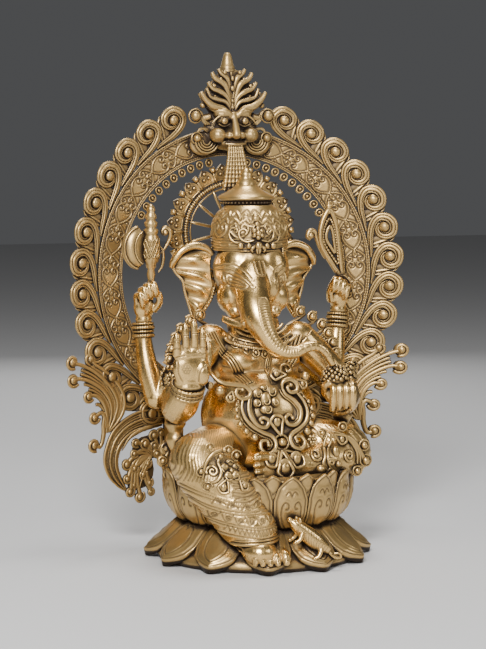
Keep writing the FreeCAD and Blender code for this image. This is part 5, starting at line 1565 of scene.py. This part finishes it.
class IDOL_OT_held(bpy.types.Operator):
    """Builds the axe, the noose and the sweets"""

    bl_idname = "idol.held"
    bl_label = "What the hands hold"

    def execute(self, context):
        show("axe", make_axe(), "brass_ornament", "axe_handle", "axe_blade")
        show("noose_loops", make_noose(), "brass_ornament", "noose")
        show("sweets", make_sweets(), "brass_ornament", "modak")
        return {"FINISHED"}


# --- jewellery --------------------------------------------------------------------------------------

LYRE = [[(-74, 217), (-67, 207), (-59.5, 200.5), (-45, 197.6), (-33, 195), (-27.5, 188.5), (-31, 183.4),
         (-38.6, 182.7), (-44.1, 188.2), (-41.9, 193.3), (-36.4, 192)],
        [(-36.7, 182.1), (-38.9, 171.8), (-35.6, 161.2), (-27.9, 152.4), (-16.8, 145.6), (-6.8, 140.9),
         (-3.4, 132.3), (-7.9, 125.2), (-15.7, 123.5), (-21.2, 129), (-20.1, 136.3), (-13.5, 137),
         (-12.2, 132)],
        [(-27.9, 186), (-31.2, 172.4), (-29, 161.9), (-22.4, 153.2), (-13.5, 150.7), (-9, 156.7),
         (-13.5, 161.1), (-19, 159.4), (-17, 156.1)],
        [(10.3, 191.1), (10.3, 196.3), (13.6, 199.8), (21.4, 200.4), (27.1, 194.6), (26, 188.3), (19.2, 187),
         (15.8, 192.2), (20.3, 194.9)],
        [(26, 187), (33.4, 177), (36.8, 166.2), (34.6, 155.7), (26.7, 148.7), (16.7, 142.9), (13.3, 136.7),
         (16.7, 129.1), (24.6, 126.6), (30.2, 132.7), (26.8, 139.8), (20, 139), (21.2, 134.6)],
        [(9.8, 191.6), (13.2, 185.1), (22.2, 178.4), (28.9, 168.6), (27.8, 158.1), (21.1, 152.1),
         (13.3, 153.6), (10.4, 160), (15.5, 163.6), (19, 159.6)]]


def lyre_front(flat):
    """Where the chest ornament lies: on the belly, and swung forward below it."""
    hang = np.interp(flat[..., 1], [95, 112, 128, 150, 200, 225], [-78, -75, -66, -58, -46, -30])
    return np.minimum(front_of(BODY)(flat) - 1.0, hang)


def make_lyre():
    """Chest ornament: paired S scrolls with channelled inner cords, graded beads and a flower."""
    lyre = Cast()
    for number, line in enumerate(LYRE):
        curve = spline(line, 90)
        lay(lyre, lyre_front, curve, [1.6, 2.9, 3.0, 2.6, 1.9], 1.2, 90, 2.6)
        if number in (1, 2, 4, 5):
            sign = 1 if number in (4, 5) else -1
            way = unit(np.gradient(curve, axis=0))[:, ::-1] * (1, -1)
            inner = (curve - sign * 4.2 * way * (1 if number in (1, 4) else -0.7))[:58]
            lay(lyre, lyre_front, inner, [0.8, 1.3, 1.2, 0.9], 0.4, 70)
    ring = spline([(-36, 184), (-38, 172), (-34, 158), (-20, 146), (-2, 138), (0, 138), (18, 141), (32, 152),
                   (36, 168), (28, 184)], 60)
    inward = np.array([0, 166]) + (ring - (0, 166)) * 0.60
    y = lyre_front(ring) + 1.6
    sheet = np.stack([ring[:, 0], y, ring[:, 1]], -1)
    sheet_in = np.stack([inward[:, 0], lyre_front(inward) + 1.6, inward[:, 1]], -1)
    # A sheet behind the scrolls, painted dark: painted shade in the openwork, with patina.
    lyre.add(np.stack([sheet, (sheet + sheet_in) / 2, sheet_in, sheet_in + (0, 2, 0), sheet + (0, 2, 0)], 1),
             0.7)
    beads = [(-43.9, 176.1, 2.2), (-44.6, 170.4, 2.8), (-44.4, 163.4, 3.2), (-41.7, 155.2, 3.6),
             (-35.8, 147.4, 4.0), (-27, 140.6, 4.6), (-73.4, 198, 4.6), (-62, 191.6, 5.6), (30, 186, 1.7),
             (34.5, 181.4, 2.2), (39.6, 176.1, 2.8), (42.6, 168.7, 3.2), (43, 160.6, 3.5), (40.2, 152.6, 3.8),
             (34.6, 144.4, 4.6), (38.8, 203, 5.4)]
    for x, z, size in beads:
        bead(lyre, lyre_front, x, z, size, 0.5)
    teardrop(lyre, lyre_front, (-48, 191), (-52, 180), 4.4, 0.8)
    teardrop(lyre, lyre_front, (17, 205.6), (-1, 206.8), 5.4, 0.8)
    teardrop(lyre, lyre_front, (27, 200), (38.5, 192.6), 4.2, 0.8)
    lay(lyre, lyre_front, [(11, 209), (14, 215), (21, 216), (23.6, 211), (19, 208.6), (18, 212)], 1.8, 0.8)
    teardrop(lyre, lyre_front, (3.4, 141.5), (-1.6, 164), 7.2, 2.4, 2.0)
    for x, z, wide, tall in ((-19, 187, 7, 6), (-3.5, 188.4, 8.5, 7), (-20.6, 177, 5.4, 5.4),
                             (-10.8, 179, 7, 10), (-0.6, 177.4, 5.4, 6), (-10.4, 170, 8, 5.6),
                             (-11, 193, 6, 4)):
        lyre.ball((x, lyre_front(np.array([[x, z]]))[0] - 0.4, z), (wide, 3.4, tall), 9, 14)
        ring = spiral((x, z), 1.0, wide * 0.62, 0.4, 1.1, 20)
        lay(lyre, lambda flat: lyre_front(flat) - 3.2, ring, 0.9, 0.2, 24)
    bead(lyre, lyre_front, 3.4, 134.6, 5.0, 3.0)
    lay(lyre, lyre_front, spiral((3.4, 134.6), 7.6, 7.6, 0, 1, 30), 1.6, 1.4)
    return lyre


def make_drops():
    """Three pendants below the chest ornament."""
    drops = Cast()
    teardrop(drops, lyre_front, (-1.5, 126), (-17, 112.5), 7.4, 2, 1.9)
    teardrop(drops, lyre_front, (1.6, 126), (3.2, 96.5), 8.6, 3.2, 2.2)
    teardrop(drops, lyre_front, (5, 126), (25, 110), 7.4, 1, 1.9)
    return drops


def make_thread():
    """Sacred thread and the necklaces: cords of three strands laid on the chest."""
    thread = Cast()
    front = front_of(BODY)
    main = np.array([(-58, 252), (-49.4, 236), (-38.6, 221), (-31.4, 208.2), (-24, 197)], float)
    for offset, size in ((-3.6, 1.3), (-1.2, 1.6), (1.6, 1.6), (4.2, 1.3)):
        lay(thread, front, main + (offset, offset * 0.35), size, 0.6, 60)
    for offset in (-2.2, 0, 2.2):
        lay(thread, front, [(14 + offset, 246), (5 + offset, 225), (1.5 + offset, 209), (3 + offset, 196)],
            1.3, 0.6)
        lay(thread, front, [(44 + offset * 2, 246), (37 + offset * 2, 228), (26 + offset * 2, 212)], 1.7, 0.8)
    collar = Cast()
    for radius, drop, size, beaded in ((26, 248, 1.6, 0), (30, 244, 2.2, 1), (36, 239, 1.6, 0),
                                       (41, 233, 2.6, 1)):
        turn = np.linspace(-1.25, 1.25, 60)
        line = np.stack([radius * np.sin(turn) / math.sin(1.25), drop + 16 * (1 - np.cos(turn))], -1)
        if beaded:
            for x, z in spline(line, int(radius * 1.1)):
                bead(collar, front, x, z, size, 0.6)
        else:
            lay(collar, front, line, size, 0.5, 60)
    for x in (-30, -20, -10, 0, 10, 20, 30):
        z = 231 + 0.012 * x * x
        teardrop(collar, front, (x, z + 4), (x * 1.05, z - 8), 3.6, 0.6, 1.1)
    return thread, collar


class IDOL_OT_body(bpy.types.Operator):
    """Builds the torso, its thread, necklaces and chest ornament"""

    bl_idname = "idol.body"
    bl_label = "Body"

    def execute(self, context):
        show("torso_body", make_torso(), "brass_figure", "torso")
        thread, collar = make_thread()
        show("thread_cords", thread, "brass_ornament", "sacred_thread")
        show("necklaces", collar, "brass_ornament", "collar")
        show("chest_ornament", make_lyre(), "brass_ornament", "pectoral_frame")
        show("pendants", make_drops(), "brass_ornament", "pectoral_drops")
        return {"FINISHED"}


# --- legs -------------------------------------------------------------------------------------------


def limb_balls(name, count=30):
    """A limb as balls along its stations, for laying ornament on it."""
    return [(station[:3], station[3]) for station in spline(LIMBS[name], count)]


def make_right_leg():
    """Right leg: thigh, knee and draped shin, with bands and folds chased round the cloth."""
    core = Cast().add(limb("thigh_right", 30, 28)).add(limb("shin_right", 50, 32))
    core.ball((-88, -51, 116), 31.5)
    skin = melt(core, "right_leg_skin", 1.1, 4)
    front = lambda points, normals: (normals[:, 1] < 0.5) & (points[:, 2] < 118)
    edges = [[(-112, 96), (-94, 88), (-58, 77.5), (-27, 88), (-16, 98)],
             [(-112, 92), (-93, 84), (-58, 74), (-26, 84)],
             [(-106, 84), (-90, 75.4), (-60, 68.5), (-23, 70)],
             [(-104, 81), (-89, 72), (-60, 65.5), (-20, 67)],
             [(-96, 64), (-75, 57.5), (-45, 52), (-14, 54)],
             [(-96, 61), (-74, 54.5), (-45, 49.4), (-12, 51.4)],
             [(-80, 46), (-62, 43), (-38, 40), (-8, 42)]]
    chase(skin, [spline(line, 60) for line in edges], 0.9, 1.0, front, 0.5)
    curls, zigzag = [], []
    for x, z in ((-82, 80), (-68, 75.5), (-52, 73.5), (-38, 76.5)):
        curls += [spiral((x, z), 0.6, 2.6, 0, 1.4, 40),
                  spline([(x - 6, z - 2), (x - 2, z + 3.6), (x + 6, z - 2)], 20)]
    for x, z in ((-84, 66), (-72, 63), (-60, 60), (-48, 59), (-36, 59.4), (-24, 60.6)):
        curls += [spiral((x, z), 0.6, 2.8, math.pi, 1.4, 40),
                  spline([(x - 6, z + 3), (x - 2, z - 4), (x + 5, z + 3)], 20)]
    for number in range(15):
        x = -72 + number * 4.4
        z = 45.4 + 0.006 * (x + 40) ** 2
        zigzag.append(spline([(x - 2.2, z - 2.6), (x, z + 3.4)], 12))
        zigzag.append(spline([(x, z + 3.4), (x + 2.2, z - 2.6)], 12))
    chase(skin, curls, 0.8, 0.8, front, 0.3)
    chase(skin, zigzag, 0.6, 0.7, front)
    folds = []
    for number in range(9):
        rise = 3.4 * number
        sway = 2.0 * math.sin(number * 1.9)
        folds.append(spline([(-66 + sway, 80 + rise), (-52, 79.5 + rise + sway), (-38, 84 + rise * 0.9),
                             (-22, 95 + rise * 0.85)], 40))
    chase(skin, folds, 1.1, 1.1, lambda points, normals: (normals[:, 1] < 0.3) & (points[:, 2] < 125), 0.5)
    hairs = []
    for number in range(24):
        x = -124 + number * 3.0
        hairs.append(spline([(x - 2, 98 + number * 0.4), (x + 1, 112), (x + 1.6, 126), (x + 8, 138),
                             (x + 20, 149)], 50))
    chase(skin, hairs, 0.6, 0.35, lambda points, normals: (points[:, 2] > 98) & (normals[:, 1] < 0.8), 0.1)
    return skin


def make_left_leg():
    """Left leg, folded on the seat, its cloth chased with fine folds."""
    core = Cast().add(limb("thigh_left", 30, 28)).add(limb("shin_left", 40, 24))
    core.ball((90, -32, 116), 31)
    skin = melt(core, "left_leg_skin", 1.1, 4)
    hairs = []
    for number in range(12):
        x = 26 + number * 8.4
        hairs.append(spline([(x - 8, 92), (x - 3, 104), (x + 2, 118), (x, 132), (x - 10, 146)], 50))
    for number in range(5):
        z = 97 + number * 4.4
        hairs.append(spline([(2, z + 2), (24, z), (46, z - 2)], 40))
    chase(skin, hairs, 0.8, 0.7, lambda points, normals: normals[:, 1] < 0.6, 0.2)
    return skin


def make_knees():
    """Knee ornaments: petalled flowers, curls, leaves and balls laid over the cloth of both knees."""
    knees = Cast()
    right = front_of(limb_balls("shin_right") + limb_balls("thigh_right"))
    left = front_of(limb_balls("shin_left") + limb_balls("thigh_left") + [((90, -32, 116), 31)])
    for number in range(5):
        angle = TAU * number / 5 + 0.3
        way = np.array([math.cos(angle), math.sin(angle)])
        x, z = np.array([-66, 112]) + 7.2 * way
        knees.ball((x, right(np.array([[x, z]]))[0] + 0.4, z), (5.4, 3.0, 5.4), 9, 16)
        lay(knees, right, spiral((x, z), 3.2, 3.2, angle - 1.2, 0.4, 14), 0.8, 3.0, 20)
    bead(knees, right, -66, 112, 2.8, 2.0)
    teardrop(knees, right, (-72, 104), (-79, 90), 5.6, 0.8)
    teardrop(knees, right, (-58, 103), (-51, 92), 4.4, 0.8)
    lay(knees, right, spiral((-86, 112), 1.2, 6.4, 0.5, 1.5, 50), 1.9, 0.4, 50)
    lay(knees, right, [(-90, 100), (-82, 103), (-77, 112), (-79, 122), (-73, 128)], [1.2, 2.4, 2.4, 1.2], 0.5)
    lay(knees, right, [(-96, 104), (-93, 120), (-84, 131), (-72, 134)], [1.2, 2.2, 2.2, 1.0], 0.4, 40, 3.0)
    for x, z, size in ((-58, 127, 4.0), (-76, 127, 3.8), (-92, 96, 3.4), (-98, 112, 3.4), (-67, 133, 3.4),
                       (-88, 137, 3.4)):
        bead(knees, right, x, z, size * 0.85, 0.6)
        lay(knees, right, spiral((x, z), size + 1.4, size + 1.4, 0, 0.8, 24), 1.0, 0.2, 24)
    lay(knees, left, spiral((42, 119.6), 1.2, 6.2, 2.6, 1.5, 50), 2.0, 0.8, 50)
    bead(knees, left, 46, 104, 5.6, 1.2)
    flower(knees, (40, left(np.array([[40, 136]]))[0] - 1.5, 136), (0, -1, 0.2), 6.0, 6)
    lay(knees, left, [(58, 140), (54, 130), (52, 118), (49, 108), (58, 99)], [1.2, 2.6, 2.2, 1.0], 0.8)
    lay(knees, left, [(62, 142), (62, 132), (56, 120), (56, 108), (64, 101)], [1.0, 2.0, 1.8, 1.0], 0.8)
    knees.ball((66, left(np.array([[66, 121]]))[0] - 0.8, 121), (4.6, 3.4, 6.8), 9, 14)
    lay(knees, left, spiral((59, 111), 1.0, 4.0, 0, 1.4, 40), 1.5, 1.2)
    bead(knees, left, 68, 108, 4.0, 1.0)
    teardrop(knees, left, (58, 104), (55, 93), 4.0, 1.0)
    for number in range(4):
        spread = number * 3.6
        lay(knees, left, [(66 + spread, 143 - number), (80 + spread, 137 - spread * 0.6),
                          (92 + spread, 122 - spread), (94 + spread, 106)], [1.2, 2.0, 2.0, 1.2], 0.3)
    teardrop(knees, left, (66, 140), (80, 131), 5.0, 1.4)
    lay(knees, left, spiral((83, 116), 1.2, 6.6, 1.0, 1.7, 50), 1.9, 0.8, 50)
    for x, z, size in ((102, 126, 4.2), (104, 109, 4.8), (74, 98, 3.4), (94, 98, 3.6), (52, 142, 3.2),
                       (76, 148, 3.2)):
        bead(knees, left, x, z, size, 0.6)
        lay(knees, left, spiral((x, z), size + 1.6, size + 1.4, 0.4, 1.2, 24), 1.2, 0.2, 24)
    return knees


def make_feet():
    """Both feet: the right one under the hem, five toes forward; the left with toes one above another."""
    right = Cast().ball((-37, -104, 24), (19, 20, 14), 15, 24)
    right.ball((-37, -92, 34), (17, 17, 14), 13, 20).ball((-30, -107, 19), (21, 11, 9.5), 13, 22)
    for x, z, size, reach in ((-46, 16, 4.2, -121), (-38.4, 15.6, 4.5, -124), (-30.8, 15.6, 4.7, -126),
                              (-22.8, 16, 5.0, -127.5), (-12.6, 17, 6.4, -128)):
        finger(right, [(x * 0.98 - 0.6, -108, z + 5), (x, -117, z + 4), (x, reach + size, z - 2)], size)
    skin = melt(right, "right_foot_skin", 0.7, 1)
    nails = []
    for x, size in ((-46, 2.2), (-38.4, 2.4), (-30.8, 2.6), (-22.8, 2.8), (-12.6, 3.6)):
        nails.append(spline([(x - size, 14), (x - size * 0.9, 18), (x, 19.6), (x + size * 0.9, 18),
                             (x + size, 14)], 30))
    chase(skin, nails, 0.45, 0.45, lambda points, normals: points[:, 1] < -116)
    left = Cast().ball((-12, -67, 106), (18, 9, 17), 13, 22).add(limb("shin_left", 30, 18))
    for z, size, reach in ((121, 6.4, -31), (112.4, 4.6, -31), (105, 4.4, -30), (98, 4.3, -28.5),
                           (91.6, 4.0, -27)):
        finger(left, [(-14, -68, z * 0.9 + 10.6), (-23, -72, z), (reach, -76.5, z)], size)
    return skin, melt(left, "left_foot_skin", 0.8, 2)


def make_anklets():
    """Two rings round the right ankle and the rolled hem above them."""
    rings = Cast()
    cuff(rings, (-37.5, -95, 31), (0.0, -0.3, 1), 18.6, [(-4.4, 2.2), (0.2, 2.2)])
    turn = circle(120)
    for height, radius, size in ((34.5, 25.2, 2.3), (38.2, 25.8, 1.5)):
        ring = np.stack([-38.6 + radius * np.cos(turn), -90 + radius * np.sin(turn),
                         height + 1.2 * np.cos(turn)], -1)
        rings.add_closed(ring_of(ring, size * (1 + 0.08 * np.sin(turn * 50)), 8, (0, 0, 1)))
    return rings


class IDOL_OT_legs(bpy.types.Operator):
    """Builds the legs, the feet and the knee ornaments"""

    bl_idname = "idol.legs"
    bl_label = "Legs"

    def execute(self, context):
        show("right_leg", make_right_leg(), "brass_figure", "leg_right")
        show("left_leg", make_left_leg(), "brass_figure", "leg_left")
        right_foot, left_foot = make_feet()
        show("right_foot", right_foot, "brass_figure", "foot_right")
        show("left_foot", left_foot, "brass_figure", "foot_left")
        show("anklets", make_anklets(), "brass_ornament")
        show("knee_ornaments", make_knees(), "brass_ornament", "knee_flowers")
        return {"FINISHED"}


# --- mouse ------------------------------------------------------------------------------------------


def make_mouse():
    """The mouse that climbs the base: body, head, ears and paws."""
    core = Cast()
    path = spline([(-3, -110, 56, 3.2), (2, -110, 52, 6.4), (12, -109, 44, 8.2), (24, -110, 34, 9.4),
                   (34, -111, 26, 7.5), (40, -112, 21, 4)], 40)
    core.add(rod(path[:, :3], path[:, 3], sides=18)).ball((-4.4, -110, 57.6), 3.0, 9, 12)
    for side in (-1, 1):
        core.ball((5, -110 + side * 5, 57), (2.2, 3.2, 3.6), 9, 12)
        for x, z in ((6, 40), (28, 21)):
            leg = spline([(x + 2, -110 + side * 6, z + 4), (x - 2, -110 + side * 8.5, z - 3),
                          (x - 7, -110 + side * 8, z - 6)], 14)
            core.add(rod(leg, np.linspace(3.2, 1.8, 14), sides=10)).ball(leg[-1], 2.4, 7, 10)
    skin = melt(core, "mouse_skin", 0.7, 2)
    fur = []
    for number in range(12):
        x = 6 + number * 2.8
        fur.append(spline([(x, 54 - number * 2.5), (x - 3, 47 - number * 2.3), (x - 1.4, 40 - number * 2.2)],
                          20))
    chase(skin, fur, 0.4, 0.25, lambda points, normals: normals[:, 1] < 0.5)
    return skin


class IDOL_OT_mouse(bpy.types.Operator):
    """Builds the mouse"""

    bl_idname = "idol.mouse"
    bl_label = "Mouse"

    def execute(self, context):
        show("mouse_body", make_mouse(), "brass_figure", "mouse")
        tail = Cast()
        path = spline([(38, -112, 22), (45, -114, 15), (52, -115, 14), (50, -118, 19), (44, -117, 19)], 40)
        tail.add(rod(path, np.linspace(2.2, 0.9, 40), sides=8))
        show("mouse_tail", tail, "brass_figure")
        return {"FINISHED"}


# --- stage ------------------------------------------------------------------------------------------


def area_light(name, place, size, watts):
    """A square soft light that faces the idol's middle."""
    data = bpy.data.lights.new(name, "AREA")
    data.shape, data.size, data.energy = "SQUARE", size, watts
    item = bpy.data.objects.new(name, data)
    bpy.context.scene.collection.objects.link(item)
    place = np.array(place) * MM
    aim = np.array([0, 20, 260]) * MM - place
    item.location = place
    item.rotation_euler = look_along(aim)
    return item


def look_along(aim):
    """Euler angles that turn a light or camera, which looks down its own -Z, along a direction."""
    aim = np.asarray(aim, float)
    flat = math.hypot(aim[0], aim[1])
    return (math.atan2(flat, -aim[2]), 0, math.atan2(aim[1], aim[0]) - math.pi / 2)


class IDOL_OT_stage(bpy.types.Operator):
    """Adds the floor, the soft lights and the camera"""

    bl_idname = "idol.stage"
    bl_label = "Stage"

    def execute(self, context):
        scene = context.scene
        mesh = bpy.data.meshes.new("floor")
        far = 6.0
        mesh.from_pydata([(-far, -far, 0), (far, -far, 0), (far, far, 0), (-far, far, 0)], [], [(0, 1, 2, 3)])
        shader = Shader("floor")
        mesh.materials.append(shader.set(Base_Color=(0.56, 0.555, 0.55, 1), Roughness=0.75))
        floor = bpy.data.objects.new("floor", mesh)
        scene.collection.objects.link(floor)
        lights = [
            area_light("key", (-900, -1700, 1500), 0.55, 76),
            area_light("fill", (1300, -1200, 900), 0.6, 7),
            area_light("top", (100, 100, 1900), 0.6, 22),
            area_light("front", (-700, -2200, 700), 0.5, 11),
            area_light("rear", (400, 1700, 900), 1.2, 8),
        ]
        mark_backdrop(floor, *lights)
        world = bpy.data.worlds.new("studio")
        world.use_nodes = True
        world.node_tree.nodes["Background"].inputs[0].default_value = (0.55, 0.56, 0.58, 1)
        world.node_tree.nodes["Background"].inputs[1].default_value = 0.14
        scene.world = world
        data = bpy.data.cameras.new("camera")
        data.sensor_width, data.lens = 36.0, 120.0
        camera = bpy.data.objects.new("camera", data)
        camera.location = np.array([-832.8, -2239.6, 483.5]) * MM
        camera.rotation_euler = look_along([0.34050, 0.93552, -0.09411])
        scene.collection.objects.link(camera)
        scene.camera = camera
        return {"FINISHED"}


class IDOL_PT_panel(bpy.types.Panel):
    """Lists the idol's pieces and sizes"""

    bl_idname = "IDOL_PT_panel"
    bl_label = "Brass Ganesha Idol"
    bl_space_type = "VIEW_3D"
    bl_region_type = "UI"
    bl_category = "Idol"

    def draw(self, context):
        layout = self.layout
        for group in (context.scene.brass_finish, context.scene.arch_sizes, context.scene.lotus_sizes):
            box = layout.box()
            for name in group.bl_rna.properties.keys():
                if name not in ("rna_type", "name"):
                    box.prop(group, name)
        for operator in OPERATORS:
            layout.operator(operator.bl_idname)


GROUPS = {"brass_finish": BrassFinish, "arch_sizes": ArchSizes, "lotus_sizes": LotusSizes}
OPERATORS = (
    IDOL_OT_arch, IDOL_OT_mask, IDOL_OT_halo, IDOL_OT_base, IDOL_OT_head, IDOL_OT_arms, IDOL_OT_held,
    IDOL_OT_body, IDOL_OT_legs, IDOL_OT_mouse, IDOL_OT_stage,
)


def register():
    """Registers the classes and hangs the sizes on the scene."""
    for item in (*GROUPS.values(), *OPERATORS, IDOL_PT_panel):
        bpy.utils.register_class(item)
    for name, group in GROUPS.items():
        setattr(bpy.types.Scene, name, bpy.props.PointerProperty(type=group))


def unregister():
    """Takes the classes and the sizes away again."""
    for name in GROUPS:
        delattr(bpy.types.Scene, name)
    for item in (IDOL_PT_panel, *reversed(OPERATORS), *reversed(list(GROUPS.values()))):
        bpy.utils.unregister_class(item)


def plain(value):
    """Arrays and vectors as plain lists."""
    if isinstance(value, dict):
        return {key: plain(item) for key, item in value.items()}
    if isinstance(value, (int, float, str)) or value is None:
        return value
    return [plain(item) for item in value]


def main():
    """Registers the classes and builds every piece."""
    register()
    for operator in OPERATORS:
        group, name = operator.bl_idname.split(".")
        getattr(getattr(bpy.ops, group), name)()
    {"frame": plain(BOUNDS), "whole": plain(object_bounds())}


if __name__ == "__main__":
    main()
